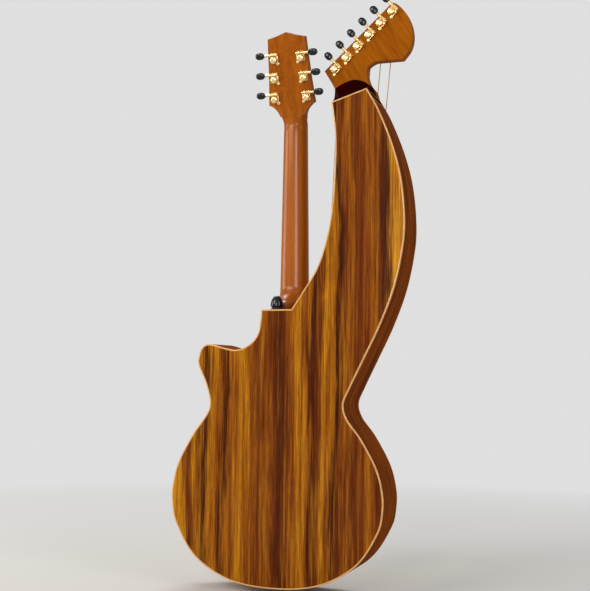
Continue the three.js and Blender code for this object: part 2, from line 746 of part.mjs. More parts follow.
// One string from its bridge pin over the saddle and the nut to the turns on its post
function makeString({ radius, route, post }) {
  const wall = Math.max(radius * 2, shaftRadius / 2);
  const low = -post.thickness - postReach / 2;
  const high = low + wall * 2;
  const middle = new THREE.Vector3(0, 0, (low + high) / 2).applyMatrix4(post.matrix);
  const run = middle.clone().sub(route.at(-1));
  const offset = run.clone().cross(post.rear).normalize();
  if (offset.x * (middle.x || 1) > 0) offset.negate();
  const meet = middle.clone().addScaledVector(offset, windingRadius + wall / 4);
  return wire([...route, meet], radius).add(winding(post, wall, low, high));
}

const nutTopY = -fingerboardThickness - nutLift;
const stringGap = (top, radius) => top - glueGap - radius;

// The stretch that every string has over the bridge, from its pin to the far edge of the saddle
function bridgeRoute(x, radius, saddleShift) {
  const saddle = saddleZ + saddleShift;
  const start = saddle - pinSetback + pinRadius + glueGap + radius;
  const over = stringGap(-saddleTop, radius);
  const edge = saddleWidth / 2 + glueGap;
  return [
    new THREE.Vector3(x, stringGap(-bridgeHeight, radius), start),
    new THREE.Vector3(x, over, saddle - edge),
    new THREE.Vector3(x, over, saddle + edge),
  ];
}

const mainShareAt = (n) => 0.5 - n / (mainStringRadii.length - 1);
const saddleSlope = (x) => (x / stringSpread) * saddleWidth;

function mainStrings() {
  const posts = mainPosts();
  return mainStringRadii.map((radius, n) => {
    const x = -stringSpread * mainShareAt(n);
    const nutX = -(nutWidth - fingerboardThickness) * mainShareAt(n);
    const post = n < 3 ? posts[n] : posts.at(2 - n);
    const over = stringGap(nutTopY, radius);
    const nearNut = new THREE.Vector3(nutX, over, nutZ - glueGap);
    const farNut = new THREE.Vector3(nutX, over, nutZ + nutLength + glueGap);
    return { radius, x, post, route: [...bridgeRoute(x, radius, saddleSlope(x)), nearNut, farNut] };
  });
}

// Where a harp string crosses a line at a distance in from the harp head's straight edge
function crossing(x, post, distance) {
  const from = new THREE.Vector2(x, saddleZ);
  const to = new THREE.Vector2(post.origin.x, post.origin.z);
  const depth = (p) => p.clone().sub(harpEdgeStart).dot(harpEdgeIn);
  return from.clone().lerp(to, (depth(from) - distance) / (depth(from) - depth(to)));
}

const harpNutTop = harpHeadSetback - harpNutHeight;

function harpStrings() {
  const posts = harpPosts();
  return harpStringRadii.map((radius, n) => {
    const x = -harpStringStart - n * harpStringPitch;
    const post = posts[n];
    const line = postInset + harpNutInset;
    const edge = harpNutWidth / 2 + glueGap;
    const over = stringGap(harpNutTop, radius);
    const [near, far] = [crossing(x, post, line + edge), crossing(x, post, line - edge)]
      .map((p) => new THREE.Vector3(p.x, over, p.y));
    return { radius, x, post, route: [...bridgeRoute(x, radius, 0), near, far] };
  });
}

function makeHarpNut() {
  const strings = harpStrings();
  const ends = [strings[0], strings.at(-1)].map(({ x, post }) => crossing(x, post, postInset + harpNutInset));
  const middle = ends[0].clone().lerp(ends[1], 0.5);
  const length = ends[0].distanceTo(ends[1]) + harpNutWidth * 2;
  const bar = new THREE.BoxGeometry(length, harpNutHeight - glueGap, harpNutWidth);
  bar.rotateY(-Math.atan2(harpEdgeAlong.y, harpEdgeAlong.x));
  return solidOf(bar.translate(middle.x, (harpNutTop + harpHeadSetback - glueGap) / 2, middle.y));
}

// Shares of half the bridge's length and of its depth, round one end of the bridge
const bridgeEndShares = [[0.86, -0.5], [0.9, -0.36], [1, -0.3], [1, 0.3], [0.9, 0.36], [0.86, 0.5]];

// The one-piece bridge under both sets of strings, with its saddles seated and its pins pressed in
function makeBridge() {
  const all = [...mainStrings(), ...harpStrings()];
  const low = Math.min(...all.map(({ x }) => x)) - bridgeMargin;
  const high = Math.max(...all.map(({ x }) => x)) + bridgeMargin;
  const middle = (low + high) / 2;
  const half = (high - low) / 2;
  const centreZ = saddleZ - pinSetback / 2;
  const end = bridgeEndShares.map(([x, z]) => new THREE.Vector2(x * half, z * bridgeDepth));
  const other = end.map((p) => new THREE.Vector2(-p.x, p.y)).reverse();
  const shape = [...end, ...other].map((p) => new THREE.Vector2(p.x + middle, p.y + centreZ));
  const base = prism(shape, -bridgeHeight, -glueGap);
  const saddle = (strings, turn) => {
    const xs = strings.map(({ x }) => x);
    const length = Math.max(...xs) - Math.min(...xs) + saddleWidth * 3;
    const x = (Math.max(...xs) + Math.min(...xs)) / 2;
    const height = saddleTop - bridgeHeight / 2;
    return braceBar(length, saddleWidth, height, x, height / 2 - saddleTop, saddleZ, turn);
  };
  const pinProfile = [[0, -pinHeight], [pinRadius, -pinHeight], [pinRadius, pinHeight / 2], [0, pinHeight]];
  const pin = ({ x, route }) => {
    const z = route[1].z + saddleWidth / 2 + glueGap - pinSetback;
    return turned(pinProfile, postSides).rotate(ontoFront).translate([x, -bridgeHeight, z]);
  };
  const mainSaddle = saddle(mainStrings(), -Math.atan(saddleWidth / stringSpread));
  return union([base, mainSaddle, saddle(harpStrings(), 0), ...all.map(pin)]);
}

// Shares of strapButtonRadius and strapButtonHeight, up the button from its seat
const strapButtonShares = [
  [0, 0], [1, 0], [1, 0.07], [0.83, 0.12], [0.85, 0.22], [1, 0.27], [0.97, 0.42], [0.87, 0.62], [0.66, 0.84],
  [0.4, 1], [0, 1],
];

function makeStrapButton() {
  return turned(scaled(strapButtonShares, strapButtonRadius, strapButtonHeight), strapPinSides);
}

// Shares of endPinRadius and endPinHeight, down the pin's head
const endPinShares = [[1, -0.45], [1, -0.75], [0.75, -1], [0, -1]];

function makeEndPin() {
  return turned([
    [0, endPinTaper], [endPinNeckRadius * postWaistShare, endPinTaper], [endPinNeckRadius, 0],
    [endPinNeckRadius, -collarHeight], ...scaled(endPinShares, endPinRadius, endPinHeight),
  ], strapPinSides);
}

const mahogany = { color: 0x96481e, roughness: 0.25, metalness: 0 };
const koa = { color: 0x8a5a18, roughness: 0.2, metalness: 0 };
const darkKoa = { color: 0x5a2d10, roughness: 0.25, metalness: 0 };
const amber = { color: 0xa5610c, roughness: 0.25, metalness: 0 };
const cream = { color: 0xdebb90, roughness: 0.35, metalness: 0 };
const spruce = { color: 0xd9b27a, roughness: 0.3, metalness: 0 };
const rosewood = { color: 0x2b1a12, roughness: 0.5, metalness: 0 };
const bone = { color: 0xe8e0cc, roughness: 0.4, metalness: 0 };
const black = { color: 0x0b0b0c, roughness: 0.15, metalness: 0 };
const gold = { color: 0xd9b45a, roughness: 0.25, metalness: 1 };
const bronze = { color: 0xb98a55, roughness: 0.35, metalness: 1 };
const steel = { color: 0xb8bcc2, roughness: 0.3, metalness: 1 };

const guitar = new THREE.Group();
guitar.position.y = -tailDepth / 2;

function addPiece(name, solid, finish, parent = guitar) {
  const mesh = new THREE.Mesh(geometryOf(solid), new THREE.MeshStandardMaterial(finish));
  mesh.name = name;
  parent.add(mesh);
  return mesh;
}

addPiece('back_plate', makeBackPlate(), koa);
addPiece('side_rim', makeRim(), darkKoa);
addPiece('soundboard', makeSoundboard(), spruce);
addPiece('body_binding', makeBinding(), cream);
addPiece('neck', makeNeck(), mahogany);
addPiece('harp_head', makeHarpHead(), amber);
addPiece('fingerboard', makeFingerboard(), rosewood);
addPiece('nut', makeNut(), bone);
addPiece('harp_nut', makeHarpNut(), bone);
addPiece('bridge', makeBridge(), rosewood);
addPiece('end_pin', makeEndPin(), black).position.set(0, tailDepth / 2, -glueGap);
const strapSeat = [strapButtonOffset, tailDepth / 2 + strapButtonSetback, bodyLength + glueGap];
addPiece('strap_button', makeStrapButton(), black).position.set(...strapSeat);

function addTuner(post, label) {
  addPiece(`${label}_plate`, seated(makePlate(post), post), gold);
  addPiece(`${label}_gear`, seated(makeGearAndPost(post), post), gold);
  addPiece(`${label}_worm`, seated(makeWormAndButton(), post), gold);
}

mainStrings().forEach((string, n) => {
  addTuner(string.post, `tuner_${n + 1}`);
  addPiece(`string_${n + 1}`, makeString(string), n < 4 ? bronze : steel);
});
harpStrings().forEach((string, n) => {
  addTuner(string.post, `harp_tuner_${n + 1}`);
  addPiece(`harp_string_${n + 1}`, makeString(string), bronze);
});

export default guitar;
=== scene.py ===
# Harp guitar: the visible pieces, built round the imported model.
import math
from collections import namedtuple

import bmesh
import bpy
from mathutils import Matrix, Vector


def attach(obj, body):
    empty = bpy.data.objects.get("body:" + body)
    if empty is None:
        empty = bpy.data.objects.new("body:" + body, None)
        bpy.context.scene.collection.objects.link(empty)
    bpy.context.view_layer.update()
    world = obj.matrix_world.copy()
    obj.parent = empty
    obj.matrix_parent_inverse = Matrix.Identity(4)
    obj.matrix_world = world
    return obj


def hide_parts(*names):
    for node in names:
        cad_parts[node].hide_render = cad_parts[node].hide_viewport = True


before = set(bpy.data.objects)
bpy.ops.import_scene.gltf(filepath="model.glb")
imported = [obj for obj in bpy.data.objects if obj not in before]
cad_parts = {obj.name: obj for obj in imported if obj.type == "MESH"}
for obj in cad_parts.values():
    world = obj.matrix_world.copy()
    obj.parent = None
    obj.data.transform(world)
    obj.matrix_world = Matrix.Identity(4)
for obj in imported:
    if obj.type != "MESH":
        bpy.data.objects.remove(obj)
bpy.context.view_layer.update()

MM = 0.001
FRONT_TO_MIDDLE = 53.0
BODY = "instrument"


# Sizes, in mm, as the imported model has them
BODY_LENGTH, HALF_BOUT, BOUT_EDGE, ARM_REACH, ARM_TOP = 495.0, 200.0, 200.3, 236.0, 889.0
TAIL_DEPTH, ARM_DEPTH, ARCH_RISE = 106.0, 98.0, 4.5
PLATE, GAP, BINDING = 3.0, 0.3, 2.6
SCALE_LENGTH, FRETS = 648.0, 20
NUT_WIDTH, BOARD_END_WIDTH, BOARD_THICK, BOARD_BINDING = 45.5, 59.0, 6.0, 1.5
NECK_THICK, HEEL_DEPTH, HEEL_RISE = 16.0, 58.0, 44.0
NUT_LENGTH, NUT_LIFT = 5.5, 1.4
HEAD_LENGTH, HEAD_THICK, HEAD_HALF, HEAD_TILT = 170.0, 15.0, 45.0, math.radians(17)
HARP_LENGTH, HARP_THICK, HARP_SETBACK = 187.5, 18.0, 1.0
END_BLOCK, SCOOP_RISE, SCOOP_LEAN, SCOOP_HOLLOW = 18.0, 48.0, 0.06, 0.1
HARP_NUT_WIDTH, HARP_NUT_HEIGHT, HARP_NUT_INSET = 6.0, 9.6, 16.0
POST_INSET, HARP_PITCH, HARP_FIRST = 12.5, 29.6, 15.5
SADDLE_TOP, BRIDGE_HEIGHT, BRIDGE_DEPTH, BRIDGE_MARGIN, SADDLE_WIDTH = 11.6, 8.0, 30.0, 16.0, 3.0
STRING_SPREAD, HARP_STRING_PITCH, HARP_STRING_START = 55.0, 12.4, 46.0
PIN_SETBACK, PIN_RADIUS = 11.0, 2.6
HOLE_RADIUS, HOLE_MARGIN = 50.0, 2.5
STRAP_RADIUS, STRAP_HEIGHT = 12.0, 26.0
MAIN_STRINGS = [0.68, 0.53, 0.41, 0.31, 0.21, 0.16]
HARP_STRINGS = [0.55, 0.6, 0.65, 0.7, 0.76, 0.82]
NUT_Z = BODY_LENGTH + SCALE_LENGTH * (1 - 2 ** (-14 / 12))
SADDLE_Z = NUT_Z - SCALE_LENGTH


def fret_z(n):
    return NUT_Z - SCALE_LENGTH * (1 - 2 ** (-n / 12))


BOARD_END = fret_z(FRETS) - 8.0
HOLE_Z = BOARD_END - HOLE_MARGIN - HOLE_RADIUS

LOWER_BOUT = [
    (-0.64, 0.66), (-0.675, 0.607), (-0.8, 0.54), (-0.935, 0.442), (-0.992, 0.36), (-0.998, 0.29),
    (-0.95, 0.21), (-0.755, 0.095), (-0.415, 0.02), (0, 0), (0.415, 0.02), (0.755, 0.095), (0.95, 0.21),
    (0.998, 0.29), (0.992, 0.36), (0.935, 0.442), (0.8, 0.54), (0.665, 0.615), (0.632, 0.66),
    (0.677, 0.728), (0.748, 0.79), (0.757, 0.82), (0.722, 0.86), (0.645, 0.874), (0.505, 0.861),
    (0.395, 0.853), (0.305, 0.861), (0.222, 0.882), (0.168, 0.914), (0.147, 0.955), (0.14, 1),
]
ARM_OUTER = [
    (-0.703, 1), (-0.797, 0.955), (-0.907, 0.881), (-0.975, 0.808), (-1, 0.725), (-0.979, 0.665),
    (-0.919, 0.595), (-0.818, 0.524), (-0.691, 0.454), (-0.592, 0.4),
]
ARM_INNER = [
    (-0.127, 0.557), (-0.22, 0.594), (-0.325, 0.639), (-0.396, 0.695), (-0.44, 0.76), (-0.46, 0.85),
    (-0.458, 0.915), (-0.428, 0.9765),
]
HARP_EDGE = [(0.173, -0.056), (0.269, 0.184), (0.376, 0.371)]
HARP_LOBE = [
    (-0.259, 0.947), (-0.325, 1), (-0.389, 0.965), (-0.453, 0.891), (-0.499, 0.8), (-0.525, 0.699),
    (-0.525, 0.603), (-0.496, 0.512), (-0.424, 0.424),
]
HARP_THROAT = [
    (-0.157, 0.424), (-0.099, 0.397), (-0.067, 0.355), (-0.072, 0.275), (-0.099, 0.2), (-0.157, 0.12),
    (-0.173, 0.056),
]
SCOOP_RISES = [1.004, 1.054, 1.075, 1.067, 0.99, 0.8, 0.5]
HEAD_OUTLINE = [
    (0.505, -0.02), (0.512, 0.03), (0.55, 0.085), (0.64, 0.14), (0.8, 0.19), (1, 0.22), (0.905, 0.5),
    (0.81, 0.94), (0.4, 0.965), (0, 1),
]
STRAP_PROFILE = [
    (0, 0), (1, 0), (1, 0.06), (0.84, 0.1), (0.84, 0.2), (0.9, 0.25), (1, 0.27), (1, 0.33), (0.97, 0.44),
    (0.92, 0.55), (0.83, 0.68), (0.7, 0.8), (0.52, 0.91), (0.3, 0.98), (0, 1),
]


# Plan curves
def spline(points, steps):
    """A Catmull-Rom curve through the points, with its ends held."""
    points = [Vector(p) for p in points]
    out = []
    for i in range(len(points) - 1):
        before, start = points[max(i - 1, 0)], points[i]
        end, after = points[i + 1], points[min(i + 2, len(points) - 1)]
        lean_in, lean_out = (end - before) / 2, (after - start) / 2
        for s in range(steps):
            t = s / steps
            out.append((2 * t**3 - 3 * t**2 + 1) * start + (t**3 - 2 * t**2 + t) * lean_in
                       + (3 * t**2 - 2 * t**3) * end + (t**3 - t**2) * lean_out)
    out.append(points[-1])
    return out


def scaled(shares, across, along):
    return [(x * across, z * along) for x, z in shares]


def area(points):
    return sum(a.x * b.y - b.x * a.y for a, b in zip(points, points[1:] + points[:1])) / 2


def inset(points, distance):
    """The closed outline drawn in by one distance, with mitred corners."""
    side = math.copysign(1, area(points))
    out = []
    for i, point in enumerate(points):
        a, b = point - points[i - 1], points[(i + 1) % len(points)] - point
        before = Vector((-a.y, a.x)).normalized() * side
        after = Vector((-b.y, b.x)).normalized() * side
        out.append(point + (before + after) * (distance / (1 + before.dot(after))))
    return out


def around(count):
    """Equal angles round a full circle."""
    return [2 * math.pi * i / count for i in range(count)]


def disc(radius, count, x=0.0, y=0.0):
    return [Vector((x + radius * math.cos(a), y + radius * math.sin(a))) for a in around(count)]


STEPS = 8
outer_edge = spline(scaled(ARM_OUTER, ARM_REACH, ARM_TOP) + scaled(LOWER_BOUT, HALF_BOUT, BODY_LENGTH), STEPS)
inner_edge = scaled(ARM_INNER, ARM_REACH, ARM_TOP)
inner_edge[0] = (inner_edge[0][0], BODY_LENGTH)
inner_edge = spline(inner_edge, STEPS)
outline = [Vector((min(p.x, BOUT_EDGE), p.y)) for p in outer_edge + inner_edge]

end_inner, end_outer = outline[-1], outline[0]
end_middle = (end_inner + end_outer) / 2
end_across = (end_outer - end_inner).normalized()
end_out = Vector((end_across.y, -end_across.x))

# The arm's end block and the sides meet on a cut across the arm, this far below its end. The outline gets
# a point there on both edges, looked for only within the zone near the end.
END_CUT, END_ZONE = 19.6, 120.0


def below_end(point):
    return -(point - end_middle).dot(end_out)


def cut_between(a, b, distance):
    """Where the line from a to b lies this far below the arm's end."""
    return a.lerp(b, (distance - below_end(a)) / (below_end(b) - below_end(a)))


def with_cuts(points):
    out = []
    for a, b in zip(points, points[1:]):
        out.append(a)
        low, high = sorted((below_end(a), below_end(b)))
        if low < END_CUT < high and (a - end_middle).length < END_ZONE:
            out.append(cut_between(a, b, END_CUT))
    return out + [points[-1]]


outline = with_cuts(outline)


def back_at(x, z):
    """How far the arched back lies behind the front plane."""
    return TAIL_DEPTH + (ARM_DEPTH - TAIL_DEPTH) / ARM_TOP * z - ARCH_RISE * (x / HALF_BOUT) ** 2


def harp_point(share):
    return end_middle + Vector(share) * HARP_LENGTH


harp_edge_start = harp_point(HARP_EDGE[-1])
harp_along = (harp_point(HARP_LOBE[0]) - harp_edge_start).normalized()
harp_in = Vector((-harp_along.y, harp_along.x))


# Shapes, gathered in mm
# A slab's rounded edge in shares of the rounding: how far each step is drawn in and lies under the face
SOFT_EDGE = [(1.5, 0), (1, 0), (0.62, 0.08), (0.29, 0.29), (0.08, 0.62), (0, 1)]
# The least radius of a turned shape, which stands for a closed end
POLE = 0.002


class Shape:
    """Points and faces in mm behind the front plane, with a material number for each face."""

    def __init__(self):
        self.points, self.faces, self.tags = [], [], []

    def add(self, points, faces, tag=0):
        start = len(self.points)
        self.points += [Vector(p) for p in points]
        self.faces += [[start + i for i in face] for face in faces]
        self.tags += [tag] * len(faces)
        return self

    def loft(self, rings, tag=0, caps=True):
        """Rings of equal count joined one to the next, with a face over each end."""
        count = len(rings[0])
        faces = []
        for r in range(len(rings) - 1):
            for i in range(count):
                j = (i + 1) % count
                faces.append([r * count + i, r * count + j, (r + 1) * count + j, (r + 1) * count + i])
        if caps:
            last = (len(rings) - 1) * count
            faces.append(list(range(count))[::-1])
            faces.append([last + i for i in range(count)])
        return self.add([p for ring in rings for p in ring], faces, tag)

    def slab(self, edge, near, far, rounding=0.8):
        """An outline in X and Z made solid between two places in Y, with rounded edges."""
        levels = [(a * rounding, near + b * rounding) for a, b in SOFT_EDGE]
        levels += [(a * rounding, far - b * rounding) for a, b in SOFT_EDGE[::-1]]
        return self.loft([[(p.x, y, p.y) for p in inset(edge, draw)] for draw, y in levels])

    def lathe(self, profile, sides=32):
        """A turned shape about local Z from pairs of radius and height; radius 0 closes an end."""
        rings = [[(p.x, p.y, height) for p in disc(max(radius, POLE), sides)] for radius, height in profile]
        return self.loft(rings)

    def box(self, low, high, rounding=0.4):
        (left, near, bottom), (right, far, top) = low, high
        edge = [Vector(p) for p in ((left, bottom), (right, bottom), (right, top), (left, top))]
        return self.slab(edge, near, far, rounding)

    def moved(self, matrix):
        self.points = [matrix @ p for p in self.points]
        return self

    def joined(self, other):
        return self.add(other.points, other.faces)


def round_ring(centre, across, up, radius, sides):
    return [centre + across * (radius * math.cos(a)) + up * (radius * math.sin(a)) for a in around(sides)]


def swung(place, turn):
    """Turns a shape about Y and sets it in place."""
    return Matrix.Translation(place) @ Matrix.Rotation(turn, 4, "Y")


def thickened(work, thickness):
    """An open sheet made solid towards the rear, as a shape."""
    grown = bmesh.ops.extrude_face_region(work, geom=work.faces[:])
    for vert in grown["geom"]:
        if isinstance(vert, bmesh.types.BMVert):
            vert.co.y += thickness
    work.verts.index_update()
    shape = Shape().add([v.co.copy() for v in work.verts], [[v.index for v in f.verts] for f in work.faces])
    work.free()
    return shape


def in_frame(x, y, z):
    """A place in mm behind the front plane, in the frame's metres."""
    return (x * MM, (y - FRONT_TO_MIDDLE) * MM, z * MM)


def shade(mesh, flat_angle):
    work = bmesh.new()
    work.from_mesh(mesh)
    bmesh.ops.remove_doubles(work, verts=work.verts, dist=1e-6)
    bmesh.ops.recalc_face_normals(work, faces=work.faces)
    limit = math.radians(flat_angle)
    for face in work.faces:
        face.smooth = True
    for edge in work.edges:
        edge.smooth = len(edge.link_faces) == 2 and edge.calc_face_angle(0) < limit
    work.to_mesh(mesh)
    work.free()


def new_object(name, data):
    made = bpy.data.objects.new(name, data)
    bpy.context.scene.collection.objects.link(made)
    return made


def finish_piece(name, mesh, body=BODY, replaced=()):
    made = new_object(name, mesh)
    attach(made, body)
    if replaced:
        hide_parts(*replaced)


def piece(name, shape, materials, body=BODY, replaced=(), flat_angle=32, uvs=None):
    """One visible piece: creases stay sharp where its faces meet at more than the flat angle."""
    mesh = bpy.data.meshes.new(name)
    mesh.from_pydata([in_frame(*p) for p in shape.points], [], shape.faces)
    for material in materials:
        mesh.materials.append(material)
    for face, tag in zip(mesh.polygons, shape.tags):
        face.material_index = tag
    if uvs:
        layer = mesh.uv_layers.new(name="along")
        for loop in mesh.loops:
            layer.data[loop.index].uv = uvs[loop.vertex_index]
    shade(mesh, flat_angle)
    finish_piece(name, mesh, body, replaced)


# Materials
def tone(red, green, blue):
    """A colour as it shows on a screen, made linear."""
    def linear(value):
        value /= 255
        return value / 12.92 if value <= 0.04045 else ((value + 0.055) / 1.055) ** 2.4
    return (linear(red), linear(green), linear(blue), 1)


class Tree:
    """A short way to add and join nodes in one tree."""

    def __init__(self, tree):
        self.tree = tree
        self.tree.nodes.clear()

    def put(self, socket, value):
        if isinstance(value, bpy.types.NodeSocket):
            self.tree.links.new(value, socket)
        else:
            socket.default_value = value

    def add(self, kind, inputs=None, **settings):
        node = self.tree.nodes.new(kind)
        for name, value in settings.items():
            setattr(node, name, value)
        for name, value in (inputs or {}).items():
            self.put(node.inputs[name], value)
        return node

    def math(self, operation, first, second=0.0):
        return self.add("ShaderNodeMath", {0: first, 1: second}, operation=operation).outputs[0]

    def vector(self, operation, first, second):
        return self.add("ShaderNodeVectorMath", {0: first, 1: second}, operation=operation).outputs[0]

    def noise(self, vector, scale=1.0, detail=2.0, roughness=0.5, distortion=0.0):
        return self.add("ShaderNodeTexNoise", {
            "Vector": vector, "Scale": scale, "Detail": detail, "Roughness": roughness,
            "Distortion": distortion,
        }).outputs["Fac"]

    def gathered(self, x, y, z):
        return self.add("ShaderNodeCombineXYZ", {"X": x, "Y": y, "Z": z}).outputs[0]

    def streaked(self, vector, stretch, detail=2.0, roughness=0.5, distortion=0.0):
        """Noise over a vector that is first scaled along each axis."""
        return self.noise(self.vector("MULTIPLY", vector, stretch), 1.0, detail, roughness, distortion)

    def span(self, value, low, high, to_low=0.0, to_high=1.0):
        return self.add("ShaderNodeMapRange", {
            "Value": value, "From Min": low, "From Max": high, "To Min": to_low, "To Max": to_high,
        }).outputs["Result"]

    def mix(self, share, first, second, blend="MIX"):
        node = self.add("ShaderNodeMix", data_type="RGBA", blend_type=blend)
        self.put(node.inputs[0], share)
        self.put(node.inputs[6], first)
        self.put(node.inputs[7], second)
        return node.outputs[2]

    def ramp(self, value, stops):
        node = self.add("ShaderNodeValToRGB", {"Fac": value})
        ramp = node.color_ramp
        ramp.interpolation = "EASE"
        while len(ramp.elements) < len(stops):
            ramp.elements.new(0.5)
        for element, (place, colour) in zip(ramp.elements, stops):
            element.position = place
            element.color = colour
        return node.outputs["Color"]


def new_group(name, inputs, outputs, kind="ShaderNodeTree"):
    """A node group with its named inputs and outputs, and the identifiers of its inputs."""
    group = bpy.data.node_groups.new(name, kind)
    ids = {}
    for way, labels in (("INPUT", inputs), ("OUTPUT", outputs)):
        for label, what in labels.items():
            socket = group.interface.new_socket(name=label, in_out=way, socket_type="NodeSocket" + what)
            if way == "INPUT":
                ids[label] = socket.identifier
    tree = Tree(group)
    return tree, tree.add("NodeGroupInput").outputs, tree.add("NodeGroupOutput").inputs, ids


def make_grain_group():
    """Wood grain along Z of a vector in mm: broad streaks, fine lines, short pores and their relief."""
    tree, given, result, _ = new_group(
        "Wood grain", {"Vector": "Vector", "Width": "Float", "Wander": "Float"},
        dict.fromkeys(("Streaks", "Lines", "Pores", "Height"), "Float"))
    place = given["Vector"]
    drift = tree.add("ShaderNodeTexNoise", {
        "Vector": tree.vector("MULTIPLY", place, (0.012, 0.012, 0.0035)), "Scale": 1.0, "Detail": 1.0,
    }).outputs["Color"]
    drift = tree.vector("SUBTRACT", drift, (0.5, 0.5, 0.5))
    drift = tree.add("ShaderNodeVectorMath", {0: drift, "Scale": given["Wander"]}, operation="SCALE")
    width = tree.gathered(given["Width"], given["Width"], 1.0)
    place = tree.vector("DIVIDE", tree.vector("ADD", place, drift.outputs[0]), width)
    streaks = tree.streaked(place, (0.07, 0.07, 0.003), 3.0, 0.55)
    lines = tree.streaked(place, (0.55, 0.55, 0.009), 4.0, 0.6)
    pores = tree.span(tree.streaked(place, (1.9, 1.9, 0.07), 1.0), 0.6, 0.72)
    tree.put(result["Streaks"], tree.span(streaks, 0.3, 0.7))
    tree.put(result["Lines"], tree.span(lines, 0.3, 0.7))
    tree.put(result["Pores"], pores)
    tree.put(result["Height"], tree.math("SUBTRACT", tree.math("MULTIPLY", lines, 0.3), pores))
    return tree.tree


grain_group = make_grain_group()


def grain(tree, vector, width, wander):
    """The grain's marks over a vector: width in shares of the plain grain, and how far it wanders in mm."""
    return tree.add("ShaderNodeGroup", {"Vector": vector, "Width": width, "Wander": wander},
                    node_tree=grain_group).outputs


def new_material(name):
    material = bpy.data.materials.new(name)
    material.use_nodes = True
    tree = Tree(material.node_tree)
    shader = tree.add("ShaderNodeBsdfPrincipled")
    tree.add("ShaderNodeOutputMaterial", {"Surface": shader.outputs[0]})
    return material, tree, shader


def in_mm(tree):
    """Where a point lies on the instrument, in mm."""
    place = tree.add("ShaderNodeTexCoord").outputs["Object"]
    return tree.vector("MULTIPLY", place, (1000, 1000, 1000))


def separate(tree, vector):
    return tree.add("ShaderNodeSeparateXYZ", {0: vector}).outputs


def on_strip(tree):
    """Where a point lies on a bent strip or a wire: X runs along it and Y across it, in metres."""
    return separate(tree, tree.add("ShaderNodeUVMap", uv_map="along").outputs[0])


def surface(tree, shader, colour, roughness, height, strength, depth=0.0002):
    """Sets a material's colour, roughness and a relief of the given depth in metres."""
    tree.put(shader.inputs["Base Color"], colour)
    tree.put(shader.inputs["Roughness"], roughness)
    bump = tree.add("ShaderNodeBump", {"Height": height, "Strength": strength, "Distance": depth})
    tree.put(shader.inputs["Normal"], bump.outputs[0])


def lacquer(shader, coat=0.25, coat_roughness=0.05, base_gloss=0.02):
    shader.inputs["Coat Weight"].default_value = coat
    shader.inputs["Coat Roughness"].default_value = coat_roughness
    shader.inputs["Coat IOR"].default_value = 1.5
    shader.inputs["Specular IOR Level"].default_value = base_gloss


GOLDEN, HONEY, BROWN = tone(184, 126, 22), tone(156, 94, 18), tone(118, 62, 14)
RUSSET, DARK, NEAR_BLACK = tone(130, 68, 14), tone(84, 39, 6), tone(62, 28, 4)
PALE_GOLD = tone(206, 148, 30)

# Stripes of the back: distance from the centre line in mm, the arm's side below zero, and colour
STRIPES_FROM, STRIPES_TO = -240.0, 210.0
BACK_STRIPES = [
    (-236, GOLDEN), (-222, PALE_GOLD), (-204, DARK), (-196, BROWN), (-180, HONEY), (-162, RUSSET),
    (-148, BROWN), (-134, HONEY), (-122, BROWN), (-114, NEAR_BLACK), (-105, HONEY), (-95, GOLDEN),
    (-84, BROWN), (-71, DARK), (-61, HONEY), (-48, GOLDEN), (-34, HONEY), (-25, BROWN), (-14, DARK),
    (-2, BROWN), (15, HONEY), (30, BROWN), (44, HONEY), (62, GOLDEN), (86, HONEY), (98, DARK), (109, HONEY),
    (122, GOLDEN), (137, DARK), (150, GOLDEN), (170, BROWN), (188, PALE_GOLD),
]
# How the stripes wander: stretch of each wave, its detail and roughness, and its reach to either side in mm
STRIPE_WAVES = [
    ((0.006, 0.0, 0.0032), 1.0, 0.5, 22.0), ((0.05, 0.0, 0.0045), 2.0, 0.5, 14.0),
    ((0.3, 0.0, 0.012), 3.0, 0.5, 12.0), ((0.75, 0.0, 0.024), 3.0, 0.6, 9.0),
]
# Long ovals round the centre joint: their middle, slimness and spacing, and where across the back they fade
OVAL_MIDDLE, OVAL_SLIM, OVAL_COUNT, OVAL_FADE = 330.0, 0.07, 0.75, (16.0, 42.0)


